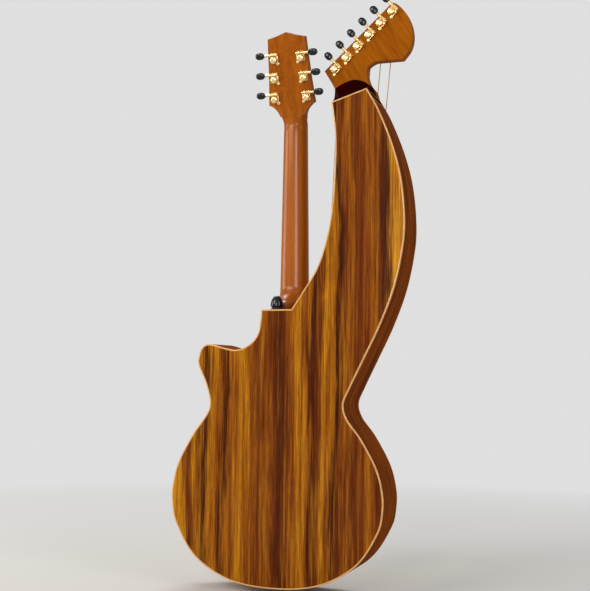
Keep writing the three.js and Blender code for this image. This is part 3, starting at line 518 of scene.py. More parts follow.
def make_back_wood():
    material, tree, shader = new_material("Striped back wood")
    parts = separate(tree, in_mm(tree))
    across, along = parts["X"], parts["Z"]
    plan = tree.gathered(across, 0.0, along)
    marks = grain(tree, plan, 1.0, 6.0)
    reach, waves = across, []
    for stretch, detail, roughness, sway in STRIPE_WAVES:
        waves.append(tree.streaked(plan, stretch, detail, roughness))
        reach = tree.math("ADD", reach, tree.span(waves[-1], 0.0, 1.0, -sway, sway))
    width = STRIPES_TO - STRIPES_FROM
    stops = [((distance - STRIPES_FROM) / width, colour) for distance, colour in BACK_STRIPES]
    colour = tree.ramp(tree.span(reach, STRIPES_FROM, STRIPES_TO), stops)
    streaks = tree.streaked(plan, (0.13, 0.0, 0.0038), 4.0, 0.62)
    colour = tree.mix(tree.span(streaks, 0.38, 0.56, 0.75, 0.0), colour, tone(176, 120, 66), "MULTIPLY")
    colour = tree.mix(tree.span(streaks, 0.53, 0.7, 0.0, 0.5), colour, GOLDEN)
    rise = tree.math("MULTIPLY", tree.math("SUBTRACT", along, OVAL_MIDDLE), OVAL_SLIM)
    squares = tree.math("ADD", tree.math("MULTIPLY", across, across), tree.math("MULTIPLY", rise, rise))
    ovals = tree.math("ADD", tree.math("SQRT", squares), tree.span(waves[1], 0.0, 1.0, -6.0, 6.0))
    ovals = tree.math("SINE", tree.math("MULTIPLY", ovals, OVAL_COUNT))
    near = tree.span(tree.math("ABSOLUTE", across), *OVAL_FADE, 0.35, 0.0)
    colour = tree.mix(tree.math("MULTIPLY", tree.span(ovals, -0.2, 1.0), near), colour, DARK)
    colour = tree.mix(tree.span(marks["Lines"], 0.0, 1.0, 0.55, 0.0), colour, tone(150, 100, 56), "MULTIPLY")
    flecks = tree.streaked(plan, (0.5, 0.0, 0.022), 3.0, 0.6)
    colour = tree.mix(tree.span(flecks, 0.32, 0.52, 0.4, 0.0), colour, tone(160, 112, 60), "MULTIPLY")
    colour = tree.mix(tree.span(flecks, 0.52, 0.7, 0.0, 0.9), colour, (1.45, 1.4, 1.2, 1), "MULTIPLY")
    colour = tree.mix(tree.math("MULTIPLY", marks["Pores"], 0.5), colour, NEAR_BLACK)
    surface(tree, shader, colour, tree.span(marks["Lines"], 0.0, 1.0, 0.4, 0.52), marks["Height"], 0.08)
    lacquer(shader, 0.16, 0.12, 0.0)
    return material


def make_side_wood():
    material, tree, shader = new_material("Side wood")
    place = on_strip(tree)
    across, along = (tree.math("MULTIPLY", place[axis], 1000) for axis in ("Y", "X"))
    marks = grain(tree, tree.gathered(across, 0.0, along), 1.0, 10.0)
    colour = tree.ramp(marks["Streaks"], [
        (0.0, tone(92, 40, 6)), (0.3, tone(126, 60, 10)), (0.52, tone(158, 82, 16)),
        (0.7, tone(132, 64, 10)), (1.0, tone(172, 98, 24)),
    ])
    colour = tree.mix(tree.span(marks["Lines"], 0.0, 1.0, 0.6, 0.0), colour, tone(150, 92, 58), "MULTIPLY")
    colour = tree.mix(tree.math("MULTIPLY", marks["Pores"], 0.5), colour, tone(40, 16, 5))
    surface(tree, shader, colour, tree.span(marks["Lines"], 0.0, 1.0, 0.42, 0.54), marks["Height"], 0.08)
    lacquer(shader, 0.02, 0.1, 0.0)
    return material


def make_plain_wood(name, dark, light, pore, turn=0.0, width=1.0, roughness=(0.38, 0.48), coat=0.3,
                    base_gloss=0.0, coat_roughness=0.05, flame=None, matt_above=None):
    """Straight-grained wood, curly where a flame colour is given, and duller past a span of height."""
    material, tree, shader = new_material(name)
    place = in_mm(tree)
    height = separate(tree, place)["Z"] if matt_above else None
    if turn:
        place = tree.add("ShaderNodeMapping", {"Vector": place, "Rotation": (0, turn, 0)}).outputs[0]
    marks = grain(tree, place, width, 8.0)
    colour = tree.mix(marks["Streaks"], dark, light)
    colour = tree.mix(tree.math("MULTIPLY", marks["Lines"], 0.4), colour, dark, "MULTIPLY")
    if flame:
        curl = tree.streaked(place, (0.075, 0.02, 0.016), 3.0, distortion=0.3)
        patch = tree.streaked(place, (0.012, 0.012, 0.02), 1.0)
        strength = tree.span(patch, 0.4, 0.6, 0.15, 0.8)
        colour = tree.mix(tree.math("MULTIPLY", tree.span(curl, 0.5, 0.66), strength), colour, flame)
    colour = tree.mix(tree.math("MULTIPLY", marks["Pores"], 0.5), colour, pore)
    if matt_above:
        colour = tree.mix(tree.span(height, *matt_above), colour, tone(244, 244, 252), "MULTIPLY")
    surface(tree, shader, colour, tree.span(marks["Lines"], 0.0, 1.0, *roughness), marks["Height"], 0.1)
    lacquer(shader, coat, coat_roughness, base_gloss)
    if matt_above:
        tree.put(shader.inputs["Coat Weight"], tree.span(height, *matt_above, coat, coat / 3))
    return material


def make_spruce():
    material, tree, shader = new_material("Soundboard spruce")
    place = in_mm(tree)
    across = tree.math("ABSOLUTE", separate(tree, place)["X"])
    sway = tree.math("MULTIPLY", tree.streaked(place, (0.01, 0.01, 0.003)), 12.0)
    rings = tree.math("SINE", tree.math("MULTIPLY", tree.math("ADD", across, sway), 3.6))
    marks = grain(tree, place, 1.2, 5.0)
    colour = tree.mix(tree.span(rings, 0.2, 1.0, 0.0, 0.5), tone(226, 186, 124), tone(188, 132, 74))
    colour = tree.mix(tree.math("MULTIPLY", marks["Streaks"], 0.3), colour, tone(204, 150, 88))
    silk = tree.streaked(place, (0.09, 0.09, 0.22))
    colour = tree.mix(tree.span(silk, 0.5, 0.75, 0.0, 0.1), colour, tone(240, 208, 152))
    surface(tree, shader, colour, tree.span(rings, -1.0, 1.0, 0.4, 0.34), rings, 0.03)
    lacquer(shader)
    return material


def make_moulded(name, colour, shadow, roughness, scale=0.4, coat=0.0, metallic=0.0):
    """A smooth finish with faint clouding and a very fine relief."""
    material, tree, shader = new_material(name)
    place = in_mm(tree)
    cloud = tree.noise(place, scale * 0.2, 3.0)
    fine = tree.noise(place, scale * 8)
    spread = tree.span(fine, 0.3, 0.7, roughness * 0.8, roughness * 1.25)
    surface(tree, shader, tree.mix(tree.span(cloud, 0.35, 0.7), colour, shadow), spread, fine, 0.05, 0.00005)
    shader.inputs["Metallic"].default_value = metallic
    if coat:
        lacquer(shader, coat)
    return material


def make_wound_metal():
    material, tree, shader = new_material("Wound bronze")
    wrap = 2 * math.pi / 0.0003
    turns = tree.math("SINE", tree.math("MULTIPLY", on_strip(tree)["X"], wrap))
    age = tree.noise(in_mm(tree), 0.05)
    colour = tree.mix(tree.span(turns, -1.0, 1.0, 0.0, 0.6), tone(116, 84, 54), tone(206, 168, 120))
    colour = tree.mix(tree.span(age, 0.4, 0.7, 0.0, 0.3), colour, tone(150, 122, 96))
    surface(tree, shader, colour, tree.span(turns, -1.0, 1.0, 0.5, 0.32), turns, 0.25, 0.00005)
    shader.inputs["Metallic"].default_value = 1.0
    return material


back_wood = make_back_wood()
side_wood = make_side_wood()
neck_wood = make_plain_wood(
    "Neck mahogany", tone(148, 77, 6), tone(180, 102, 12), tone(108, 50, 8), width=0.8, coat=0.55,
    coat_roughness=0.2, matt_above=(NUT_Z - 30, NUT_Z + 30))
amber_wood = make_plain_wood(
    "Figured amber wood", tone(144, 77, 3), tone(166, 96, 6), tone(122, 58, 3), turn=math.radians(-32),
    width=2.4, coat=0.1, flame=tone(116, 48, 2))
# Near-black maroon for the arm-end scoop: dark wood with the hollow's shade painted into its colour.
scoop_shade_wood = make_plain_wood(
    "Maroon wood with painted shade", tone(34, 3, 3), tone(50, 7, 6), tone(18, 1, 2), coat=0.004)
end_wood = make_plain_wood(
    "Arm end lacquer", tone(72, 28, 6), tone(94, 40, 12), tone(44, 16, 4), coat=0.004)
inside_wood = make_plain_wood(
    "Bare inside wood", tone(150, 104, 62), tone(196, 152, 104), tone(110, 74, 42), coat=0.0,
    roughness=(0.6, 0.75), base_gloss=0.02)
board_wood = make_plain_wood(
    "Fingerboard wood", tone(28, 16, 12), tone(52, 32, 24), tone(12, 8, 6), width=0.6, coat=0.0,
    roughness=(0.42, 0.55), base_gloss=0.02)
veneer_line = make_plain_wood(
    "Copper veneer line", tone(206, 140, 96), tone(222, 162, 116), tone(150, 92, 60), coat=0.0,
    base_gloss=0.02)
spruce = make_spruce()
cream = make_moulded("Cream binding", tone(212, 166, 108), tone(196, 148, 92), 0.4, coat=0.2)
bone = make_moulded("Polished bone", tone(236, 228, 206), tone(220, 208, 180), 0.4)
black = make_moulded("Black moulding", tone(14, 14, 16), tone(22, 22, 25), 0.18, coat=0.6)
gold = make_moulded("Gold plate", tone(248, 222, 166), tone(236, 204, 142), 0.17, metallic=1.0)
nickel = make_moulded("Fret metal", tone(214, 212, 206), tone(190, 188, 184), 0.25, metallic=1.0)
steel = make_moulded("Plain string steel", tone(216, 218, 222), tone(180, 182, 186), 0.25, metallic=1.0)
pearl = make_moulded("Pearl dots", tone(232, 234, 228), tone(190, 204, 204), 0.25, scale=4.0, coat=0.5)
bronze = make_wound_metal()


# Body
# The binding's section: how far it is drawn in from the outline, and how far it lies under the face
BINDING_SECTION = [(BINDING, 0), (0.9, 0), (0.35, 0.12), (0.12, 0.35), (0, 0.9), (0, PLATE), (BINDING, PLATE)]
# How far the strips beside the arm's end reach into the binding of the front and of the back
OVERLAP = 0.5


def make_binding():
    shape = Shape()
    for depth_of in (lambda p, rise: rise, lambda p, rise: back_at(p.x, p.y) - rise):
        rings = []
        for draw, rise in BINDING_SECTION:
            rings.append([(p.x, depth_of(p, rise), p.y) for p in inset(outline, draw)])
        shape.loft(rings + rings[:1], caps=False)
    for corner, inwards in ((end_inner, 1), (end_outer, -1)):
        across, down = end_across * inwards * BINDING, end_out * BINDING
        base = [corner, corner + across, corner + across - down, corner - down]
        depths = PLATE - OVERLAP, back_at(corner.x, corner.y) - PLATE + OVERLAP
        shape.loft([[(p.x, y, p.y) for p in base] for y in depths])
    piece("binding_strips", shape, [cream], replaced=["body_binding"])


def back_sheet():
    """The back within its binding, cut into small cells so that it can follow the arch."""
    cell = 14
    work = bmesh.new()
    work.faces.new([work.verts.new((p.x, 0, p.y)) for p in inset(outline, BINDING)])
    for axis, low, high, step in ((0, -ARM_REACH, HALF_BOUT, cell), (2, 0, ARM_TOP, cell * 3)):
        at = low + cell
        while at < high:
            centre, normal = Vector((0, 0, 0)), Vector((0, 0, 0))
            centre[axis], normal[axis] = at, 1
            every = work.verts[:] + work.edges[:] + work.faces[:]
            bmesh.ops.bisect_plane(work, geom=every, dist=1e-4, plane_co=centre, plane_no=normal)
            at += step
    for vert in work.verts:
        vert.co.y = back_at(vert.co.x, vert.co.z) - PLATE
    return thickened(work, PLATE)


def crossings(z, draw):
    """Where a level line meets the drawn-in outline, from left to right."""
    edge = inset(outline, draw)
    found = []
    for a, b in zip(edge, edge[1:] + edge[:1]):
        if (a.y <= z) != (b.y <= z):
            found.append(a.x + (b.x - a.x) * (z - a.y) / (b.y - a.y))
    return sorted(found)


# Cross braces of the back: places as shares of the body's length and of the arm's
BODY_BRACES, ARM_BRACES = (0.16, 0.36, 0.59, 0.83), (0.66, 0.78, 0.89)
# Their section in mm: inset from the outline, height, half width, half the crest and depth of its slope
BRACE_INSET, BRACE_HEIGHT, BRACE_HALF, BRACE_CREST, BRACE_SLOPE = 9.5, 13, 4, 1.5, 4
# Their height at the ends as a share, how steeply it rises from there, and how far they sink in, in mm
BRACE_END, BRACE_RISE, BRACE_STEPS, GLUED = 0.25, 3, 12, 0.4
# The strip over the centre joint: half its width, and how far its ends lie from the body's
JOINT_STRIP, JOINT_ENDS = 9, 60


def make_back():
    piece("back_panel", back_sheet(), [back_wood], replaced=["back_plate"], flat_angle=50)
    bars = Shape()
    for z in [s * BODY_LENGTH for s in BODY_BRACES] + [s * ARM_TOP for s in ARM_BRACES]:
        low, high = crossings(z, BRACE_INSET)[:2]
        rings = []
        for s in range(BRACE_STEPS + 1):
            x = low + (high - low) * s / BRACE_STEPS
            foot = back_at(x, z) - PLATE
            share = BRACE_END + BRACE_RISE * min(s, BRACE_STEPS - s) / BRACE_STEPS
            crest = foot - BRACE_HEIGHT * min(1, share)
            section = [(crest, BRACE_CREST), (crest + BRACE_SLOPE, BRACE_HALF), (foot + GLUED, BRACE_HALF)]
            other = [(y, -side) for y, side in section]
            rings.append([(x, y, z + side) for y, side in other[:1] + section + other[:0:-1]])
        bars.loft(rings)
    rings = []
    for z in (JOINT_ENDS, BODY_LENGTH - JOINT_ENDS):
        foot = back_at(0, z) - PLATE
        rings.append([(-JOINT_STRIP, foot - 2, z), (JOINT_STRIP, foot - 2, z), (JOINT_STRIP, foot + 1, z),
                      (-JOINT_STRIP, foot + 1, z)])
    bars.loft(rings)
    piece("back_braces", bars, [inside_wood])


# Thickness of the side wall, of wall and lining together, and the lining's height
WALL, LINING, LINING_HEIGHT = 2.4, 8.4, 14.0
# The tail block and the neck block: left, right, low and high, and the depths that both lie between
BLOCKS, BLOCK_DEPTH = [(-38, 38, 9, 42), (-24, 14, BODY_LENGTH - 42, BODY_LENGTH - 9)], (6, 96)


def make_sides():
    places = [i for i, p in enumerate(outline) if below_end(p) > END_CUT - 0.01]
    near = PLATE + 0.02
    draws = {draw: inset(outline, draw) for draw in (0, WALL, LINING)}
    shape, rings, uvs, length = Shape(), [], [], 0.0
    for n, i in enumerate(places):
        if n:
            length += (outline[i] - outline[i - 1]).length
        far = back_at(*outline[i]) - near
        profile = [(0, near), (0, far)]
        for face, way in ((far, -LINING_HEIGHT), (near, LINING_HEIGHT)):
            lining = [(LINING, face), (LINING, face + way / 2), (WALL, face + way)]
            profile += lining if face == far else lining[::-1]
        rings.append([(draws[d][i].x, y, draws[d][i].y) for d, y in profile])
        uvs += [(length * MM, (y + d * 3) * MM) for d, y in profile]
    shape.loft(rings)
    piece("side_wall", shape, [side_wood], replaced=["side_rim"], uvs=uvs, flat_angle=40)
    blocks = Shape()
    near, far = BLOCK_DEPTH
    for left, right, low, high in BLOCKS:
        blocks.box((left, near, low), (right, far, high), 2)
    piece("inside_blocks", blocks, [inside_wood])


CIRCLE_SIDES = 96
# Rosette: inner and outer radius of each ring in mm, and 0 for dark wood or 1 for pearl
ROSETTE = [
    (54, 55, 0), (55.2, 56.8, 1), (57, 58, 0), (60, 61, 0), (61.2, 65, 1), (65.2, 66.2, 0), (68.4, 69.2, 0),
]
ROSETTE_FACE, ROSETTE_FOOT = -0.06, 0.4
# Braces under the soundboard: height as a share of the body's length, turn in half circles, and length
FRONT_BRACES = [(0.53, 0.27, 0.62), (0.53, -0.27, 0.62), (0.835, 0, 0.26)]
# Half the width and the height of such a brace, and how far it sinks into the board
FRONT_BRACE_HALF, FRONT_BRACE_HEIGHT, SUNK = 4, 13, 0.2
# The plate under the bridge: left, right, half its width along the strings, and its inner face
BRIDGE_PLATE = (-140, 60, 28, 6)


def make_soundboard():
    work = bmesh.new()
    edge = [work.verts.new((p.x, 0, p.y)) for p in inset(outline, BINDING)]
    hole = [work.verts.new((p.x, 0, p.y)) for p in disc(HOLE_RADIUS, CIRCLE_SIDES, 0, HOLE_Z)]
    edges = [work.edges.new((ring[i], ring[i - 1])) for ring in (edge, hole) for i in range(len(ring))]
    bmesh.ops.triangle_fill(work, edges=edges, use_beauty=True)
    middle = Vector((0, 0, HOLE_Z))
    inside = [f for f in work.faces if (f.calc_center_median() - middle).length < HOLE_RADIUS * 0.97
              and all((v.co - middle).length < HOLE_RADIUS * 1.01 for v in f.verts)]
    bmesh.ops.delete(work, geom=inside, context="FACES_ONLY")
    piece("front_panel", thickened(work, PLATE), [spruce], replaced=["soundboard"])
    rose = Shape()
    for inner, outer, tag in ROSETTE:
        section = [(inner, ROSETTE_FACE), (outer, ROSETTE_FACE), (outer, ROSETTE_FOOT), (inner, ROSETTE_FOOT)]
        rings = []
        for radius, y in section:
            rings.append([(p.x, y, p.y) for p in disc(radius, CIRCLE_SIDES, 0, HOLE_Z)])
        rose.loft(rings + rings[:1], tag, caps=False)
    piece("rosette", rose, [board_wood, pearl])
    braces = Shape()
    for z, turn, length in FRONT_BRACES:
        half = length * BODY_LENGTH / 2
        bar = Shape().box((-half, 0, -FRONT_BRACE_HALF), (half, FRONT_BRACE_HEIGHT, FRONT_BRACE_HALF), 1.5)
        braces.joined(bar.moved(swung((0, PLATE - SUNK, z * BODY_LENGTH), -turn * math.pi)))
    left, right, reach, inner_face = BRIDGE_PLATE
    braces.box((left, PLATE - SUNK, SADDLE_Z - reach), (right, inner_face, SADDLE_Z + reach), 1)
    piece("front_braces", braces, [inside_wood])


make_binding()
make_back()
make_sides()
make_soundboard()


# Neck and its head


def half_width(z):
    share = (NUT_Z - z) / (NUT_Z - BOARD_END)
    return (NUT_WIDTH + (BOARD_END_WIDTH - NUT_WIDTH) * share) / 2


lean = Matrix.Translation((0, GAP, NUT_Z + NUT_LENGTH / 2)) @ Matrix.Rotation(-HEAD_TILT, 4, "X")


def head_half_width(rise):
    """Half the head's width at a height above its root."""
    flank = scaled(HEAD_OUTLINE[:6], HEAD_HALF, HEAD_LENGTH)
    for (x0, z0), (x1, z1) in zip(flank, flank[1:]):
        if rise <= z1:
            return x0 + (x1 - x0) * max(0, (rise - z0) / (z1 - z0))
    return flank[-1][0]


# Powers of the curve across the neck, 1 for an ellipse and near 0 for a box, at the neck and at its head
NECK_ROUND, HEAD_ROUND = 1.0, 0.12
# The heel from the body up: shares of its rise, of its depth beyond the neck's, and of the neck's width
HEEL = [
    (0, 1, 0.9), (0.15, 1.0, 0.9), (0.3, 0.97, 0.9), (0.42, 0.8, 0.92), (0.55, 0.5, 0.96), (0.75, 0.18, 1),
    (1, 0.02, 1), (1.3, 0, 1),
]
# Steps of the plain neck, and how far under the nut they end
NECK_STEP, NECK_END = 20, 16
# The blend into the leaning head, in mm from the nut: its start, its length and steps, where it begins to
# widen, and where its section begins to square and over what length
BLEND_LOW, BLEND_RISE, BLEND_STEPS, WIDEN_FROM, SQUARE_FROM, SQUARE_OVER = -12, 46, 10, 2, -4, 30
# How fast the depth and the lean change over the blend
THIN_RATE, LEAN_RATE = 1.4, 2.2


def neck_section(half, depth, power):
    """Half a rounded section behind the neck's flat front, from one edge to the other."""
    sides, ring = 40, []
    for i in range(sides + 1):
        c, s = math.cos(math.pi * i / sides), math.sin(math.pi * i / sides)
        ring.append((math.copysign(abs(c) ** power, c) * half, GAP + depth * s ** power))
    return ring


def make_neck():
    rings = []

    def level(z, half, depth):
        rings.append([(x, y, z) for x, y in neck_section(half, depth, NECK_ROUND)])
    for rise, deep, wide in spline(HEEL, 5):
        z = BODY_LENGTH + GAP + rise * HEEL_RISE
        level(z, half_width(z) * wide, NECK_THICK + (HEEL_DEPTH - NECK_THICK) * max(deep, 0))
    z = BODY_LENGTH + HEEL_RISE * HEEL[-1][0]
    while z < NUT_Z - NECK_END:
        z = min(z + NECK_STEP, NUT_Z - NECK_END)
        level(z, half_width(z), NECK_THICK)
    root = half_width(NUT_Z)
    for s in range(BLEND_STEPS + 1):
        t = s / BLEND_STEPS
        rise = BLEND_LOW + t * BLEND_RISE
        half = max(head_half_width(rise) if rise >= WIDEN_FROM else root, root) - 0.05
        square = max(0.0, min(1.0, (rise - SQUARE_FROM) / SQUARE_OVER))
        depth = NECK_THICK + (HEAD_THICK - NECK_THICK) * min(1, t * THIN_RATE)
        section = neck_section(half, depth, NECK_ROUND - (NECK_ROUND - HEAD_ROUND) * square)
        upright = [Vector((x, y, NUT_Z + NUT_LENGTH / 2 + rise)) for x, y in section]
        leaned = [lean @ Vector((x, y - GAP, rise)) for x, y in section]
        rings.append([a.lerp(b, min(1.0, t * LEAN_RATE)) for a, b in zip(upright, leaned)])
    shape = Shape().loft(rings)
    points = [Vector(p) for p in scaled(HEAD_OUTLINE, HEAD_HALF, HEAD_LENGTH)]
    half = spline(points[2:6], 6) + points[6:9]
    edge = half + points[9:] + [Vector((-p.x, p.y)) for p in reversed(half)]
    shape.joined(Shape().slab(edge, 0, HEAD_THICK, 0.9).moved(lean))
    piece("neck_and_head", shape, [neck_wood], replaced=["neck"], flat_angle=34)
    face = Shape().slab(inset(edge, 0.4), -0.05, 1.2, 0.1).moved(lean)
    piece("head_veneer", face, [board_wood])


MARKED_FRETS, DOUBLE_MARK, DOT_RADIUS, DOT_SPREAD = (3, 5, 7, 9, 12, 15, 17, 19), 12, 3, 9


def make_fingerboard():
    low, high, top = half_width(BOARD_END), half_width(NUT_Z), NUT_Z - GAP
    low_in, high_in = low - BOARD_BINDING, high - BOARD_BINDING
    edge = [Vector(p) for p in ((low_in, BOARD_END), (-low_in, BOARD_END), (-high_in, top), (high_in, top))]
    board = Shape().slab(edge, -BOARD_THICK, 0, 0.05)
    piece("fingerboard_blank", board, [board_wood], replaced=["fingerboard"])
    edges = Shape()
    for side in (-1, 1):
        strip = ((low_in, BOARD_END), (low, BOARD_END), (high, top), (high_in, top))
        edges.slab([Vector((x * side, z)) for x, z in strip], -BOARD_THICK, 0, 0.3)
    piece("fingerboard_binding", edges, [cream])
    dots = Shape()
    for n in MARKED_FRETS:
        for x in (-DOT_SPREAD, DOT_SPREAD) if n == DOUBLE_MARK else (0,):
            spot = disc(DOT_RADIUS, 24, x, (fret_z(n) + fret_z(n - 1)) / 2)
            dots.slab(spot, -BOARD_THICK - 0.04, -BOARD_THICK + 1, 0.02)
    piece("fingerboard_dots", dots, [pearl])


def make_nut():
    half, low, high = NUT_WIDTH / 2 - GAP, NUT_Z + GAP, NUT_Z + NUT_LENGTH - GAP
    shape = Shape().box((-half, -BOARD_THICK - NUT_LIFT, low), (half, -GAP, high), 0.8)
    piece("nut_blank", shape, [bone], replaced=["nut"])


make_neck()
make_fingerboard()
make_nut()


# Harp head
def walk(edge, distance):
    """The first place along an edge that lies this far below the arm's end."""
    for a, b in zip(edge, edge[1:]):
        if below_end(a) <= distance < below_end(b):
            return cut_between(a, b, distance)
    return edge[0]


def over_head(edge, point):
    """Whether a point lies on the head's face: a line up from it crosses the edge an odd number of times."""
    crossed = 0
    for a, b in zip(edge, edge[1:] + edge[:1]):
        if (a.x > point.x) != (b.x > point.x):
            crossed += a.y + (b.y - a.y) * (point.x - a.x) / (b.x - a.x) > point.y
    return crossed % 2 == 1


SCOOP_COLUMNS, SCOOP_STEPS, SCOOP_TRIM, SCOOP_MARGIN, SCOOP_LEAST = 36, 18, 0.25, 0.3, 0.5
# The copper line round the arm below its end: its start and stop, how far it stands out and how deep it sits
LINE_HIGH, LINE_LOW, LINE_PROUD, LINE_DEEP = 18.9, 20.5, 0.06, 1.2


def scoop_rings(edge):
    """Sections of the dark scoop, one for each column across the arm's end, from the head to the back."""
    width = (end_outer - end_inner).length - GAP * 2
    rises = spline([Vector((i / 6, r)) for i, r in enumerate(SCOOP_RISES)], 6)
    way = end_out - end_across * SCOOP_LEAN
    front, thin = HARP_SETBACK + HARP_THICK, HARP_SETBACK + HARP_THICK / 2
    rings = []
    for c in range(SCOOP_COLUMNS + 1):
        base = end_middle + end_across * (width * (c / SCOOP_COLUMNS - 0.5))
        back = back_at(base.x, base.y) - PLATE - 0.1
        rise = rises[c].y * SCOOP_RISE
        outer = c > SCOOP_COLUMNS / 2
        while outer and rise > SCOOP_LEAST and not over_head(edge, base + way * (rise + SCOOP_MARGIN)):
            rise -= SCOOP_TRIM
        profile = [(-END_BLOCK / 2, thin), (rise, thin)]
        for s in range(SCOOP_STEPS + 1):
            down = s / SCOOP_STEPS
            left = 1 - down - SCOOP_HOLLOW * math.sin(math.pi * down)
            profile.append((rise * left, front + (back - front) * down))
        profile.append((-END_BLOCK / 2, back))
        rings.append([(base.x + way.x * out, y, base.y + way.y * out) for out, y in profile])
    return rings


def through_side(ring, margin):
    """A ring of plan points twice: just under the front, and just under the back."""
    near = PLATE + margin
    return [[(p.x, near, p.y) for p in ring], [(p.x, back_at(p.x, p.y) - near, p.y) for p in ring]]


def make_harp_head():
    edge = spline([harp_point(p) for p in HARP_EDGE], 4)
    edge += spline([harp_point(p) for p in HARP_LOBE], 8) + spline([harp_point(p) for p in HARP_THROAT], 8)
    plate = Shape().slab(edge, HARP_SETBACK, HARP_SETBACK + HARP_THICK, 1.0)
    piece("harp_head_plate", plate, [amber_wood], replaced=["harp_head"])

    sweep = Shape().loft(scoop_rings(edge))
    count = len(outline)
    inside = [i for i in range(count) if below_end(outline[i]) < END_CUT + 0.01]
    drawn = inset(outline, 0.12)
    ring = [drawn[i] for i in sorted(inside, key=lambda i: i if i > count / 2 else i + count)]
    sweep.loft(through_side(ring, 0.02), 1)
    # The scoop's face takes the maroon with painted shade; the arm's end takes its own dark lacquer.
    piece("arm_end_scoop", sweep, [scoop_shade_wood, end_wood], flat_angle=40)

    lines = Shape()
    outside, within = inset(outline, -LINE_PROUD), inset(outline, LINE_DEEP)
    for turn in (1, -1):
        corners = [walk(side[::turn], cut) for side, cut in (
            (outside, LINE_HIGH), (outside, LINE_LOW), (within, LINE_LOW), (within, LINE_HIGH))]
        lines.loft(through_side(corners, 0.05))
    piece("arm_end_lines", lines, [veneer_line])


make_harp_head()


def finish_tree(tree, given, result, shape):
    """What each geometry tree ends in: its shape made real and given its metal."""
    real = tree.add("GeometryNodeRealizeInstances", {0: shape})
    coat = tree.add("GeometryNodeSetMaterial", {"Geometry": real.outputs[0], "Material": given["Metal"]})
    tree.put(result[0], coat.outputs[0])


def turns_tree():
    """Geometry nodes: one strip of round wire wound into a close coil."""
    tree, given, result, ids = new_group("String turns", {
        "Turns": "Float", "Coil radius": "Float", "Rise": "Float", "Wire radius": "Float",
        "Metal": "Material",
    }, {"Geometry": "Geometry"}, "GeometryNodeTree")
    coil = tree.add("GeometryNodeCurveSpiral", {
        "Resolution": 24, "Rotations": given["Turns"], "Start Radius": given["Coil radius"],
        "End Radius": given["Coil radius"], "Height": given["Rise"],
    })
    circle = tree.add("GeometryNodeCurvePrimitiveCircle", {"Resolution": 8, "Radius": given["Wire radius"]})
    wire = tree.add("GeometryNodeCurveToMesh", {
        "Curve": coil.outputs[0], "Profile Curve": circle.outputs[0], "Fill Caps": True})
    finish_tree(tree, given, result, wire.outputs[0])
    return tree.tree, ids


def spots_tree(name, build):
    """Geometry nodes: one small shape set at each given point, and made real."""
    tree, given, result, ids = new_group(name, {
        "Points": "Geometry", "Radius": "Float", "Height": "Float", "Metal": "Material",
    }, {"Geometry": "Geometry"}, "GeometryNodeTree")
    shape, size = build(tree, given)
    placed = tree.add("GeometryNodeInstanceOnPoints", {"Points": given["Points"], "Instance": shape})
    if size:
        tree.put(placed.inputs["Scale"], size)
    finish_tree(tree, given, result, placed.outputs[0])
    return tree.tree, ids


def grown_mesh(name, base, group, values):
    """The plain mesh that a geometry node tree makes from a base mesh and a value for each named input."""
    tree, ids = group
    holder = new_object(name + "_base", base)
    modifier = holder.modifiers.new("grow", "NODES")
    modifier.node_group = tree
    for label, value in values.items():
        modifier[ids[label]] = value
    seen = holder.evaluated_get(bpy.context.evaluated_depsgraph_get())
    mesh = bpy.data.meshes.new_from_object(seen)
    mesh.name = name
    holder.modifiers.remove(modifier)
    bpy.data.objects.remove(holder)
    return mesh


def fret_shape(tree, given):
    rod = tree.add("GeometryNodeMeshCylinder", {
        "Vertices": 16, "Radius": given["Radius"], "Depth": given["Height"]}).outputs["Mesh"]
    lay = tree.add("GeometryNodeTransform", {"Geometry": rod, "Rotation": (0, math.pi / 2, 0)}).outputs[0]
    reach = tree.add("GeometryNodeInputNamedAttribute", {"Name": "reach"}, data_type="FLOAT")
    return lay, tree.gathered(reach.outputs["Attribute"], 1.0, 1.0)


FRET_RADIUS, FRET_LIFT, FRET_INSET = 1.1, 0.15, 0.4


def make_frets():
    places = [fret_z(n) for n in range(1, FRETS + 1)]
    base = bpy.data.meshes.new("fret_places")
    base.from_pydata([in_frame(0, -BOARD_THICK + FRET_LIFT, z) for z in places], [], [])
    reach = base.attributes.new("reach", "FLOAT", "POINT")
    for spot, z in zip(reach.data, places):
        spot.value = (half_width(z) - FRET_INSET) * 2
    mesh = grown_mesh("frets", base, spots_tree("Set frets", fret_shape), {
        "Radius": FRET_RADIUS * MM, "Height": MM, "Metal": nickel})
    shade(mesh, 40)
    finish_piece("frets", mesh)


make_frets()


# Tuners
TEETH, GEAR_RADIUS, WORM_RADIUS, TOOTH = 12, 6.2, 3.1, 0.8
TOOTH_CLEAR, BACKLASH, GEAR_THICK, TURNS, SHAFT = 0.3, 0.6, 3.0, 2.0, 1.5
SHEET, PLATE_WIDTH, FOOT, EAR, POST = 1.2, 12.0, 1.5, 2.2, 3.0
FOOT_REACH, FOOT_RADIUS, SCREW = 6.9, 3.0, 2.2
SLEEVE = (POST + 0.25) / math.cos(math.pi / 6) + 1.4
COLLAR_RADIUS, COLLAR_HEIGHT, POST_REACH = 6.5, 2.0, 15.0
BUTTON_LENGTH, BUTTON_WIDTH, BUTTON_THICK, BUTTON_NECK = 18.5, 15.0, 8.0, 2.6
SHAFT_REACH = 16.5
LIFT = GAP + SHEET + WORM_RADIUS + TOOTH + TOOTH_CLEAR
TOOTH_PITCH = 2 * math.pi * GEAR_RADIUS / TEETH
TOOTH_WIDTH = (TOOTH_PITCH - BACKLASH) / 2
EAR_PLACE = TURNS * TOOTH_PITCH / 2 + TOOTH_WIDTH + TOOTH_CLEAR + EAR / 2
WORM_DISTANCE = GEAR_RADIUS + WORM_RADIUS
# A tooth's section: -1 at its root or 1 at its tip, and the place across it in shares of its width
TOOTH_SHARES = [(-1, -0.72), (1, -0.28), (1, 0.28), (-1, 0.72)]
MAIN_POSTS = (0.28, 0.495, 0.71)


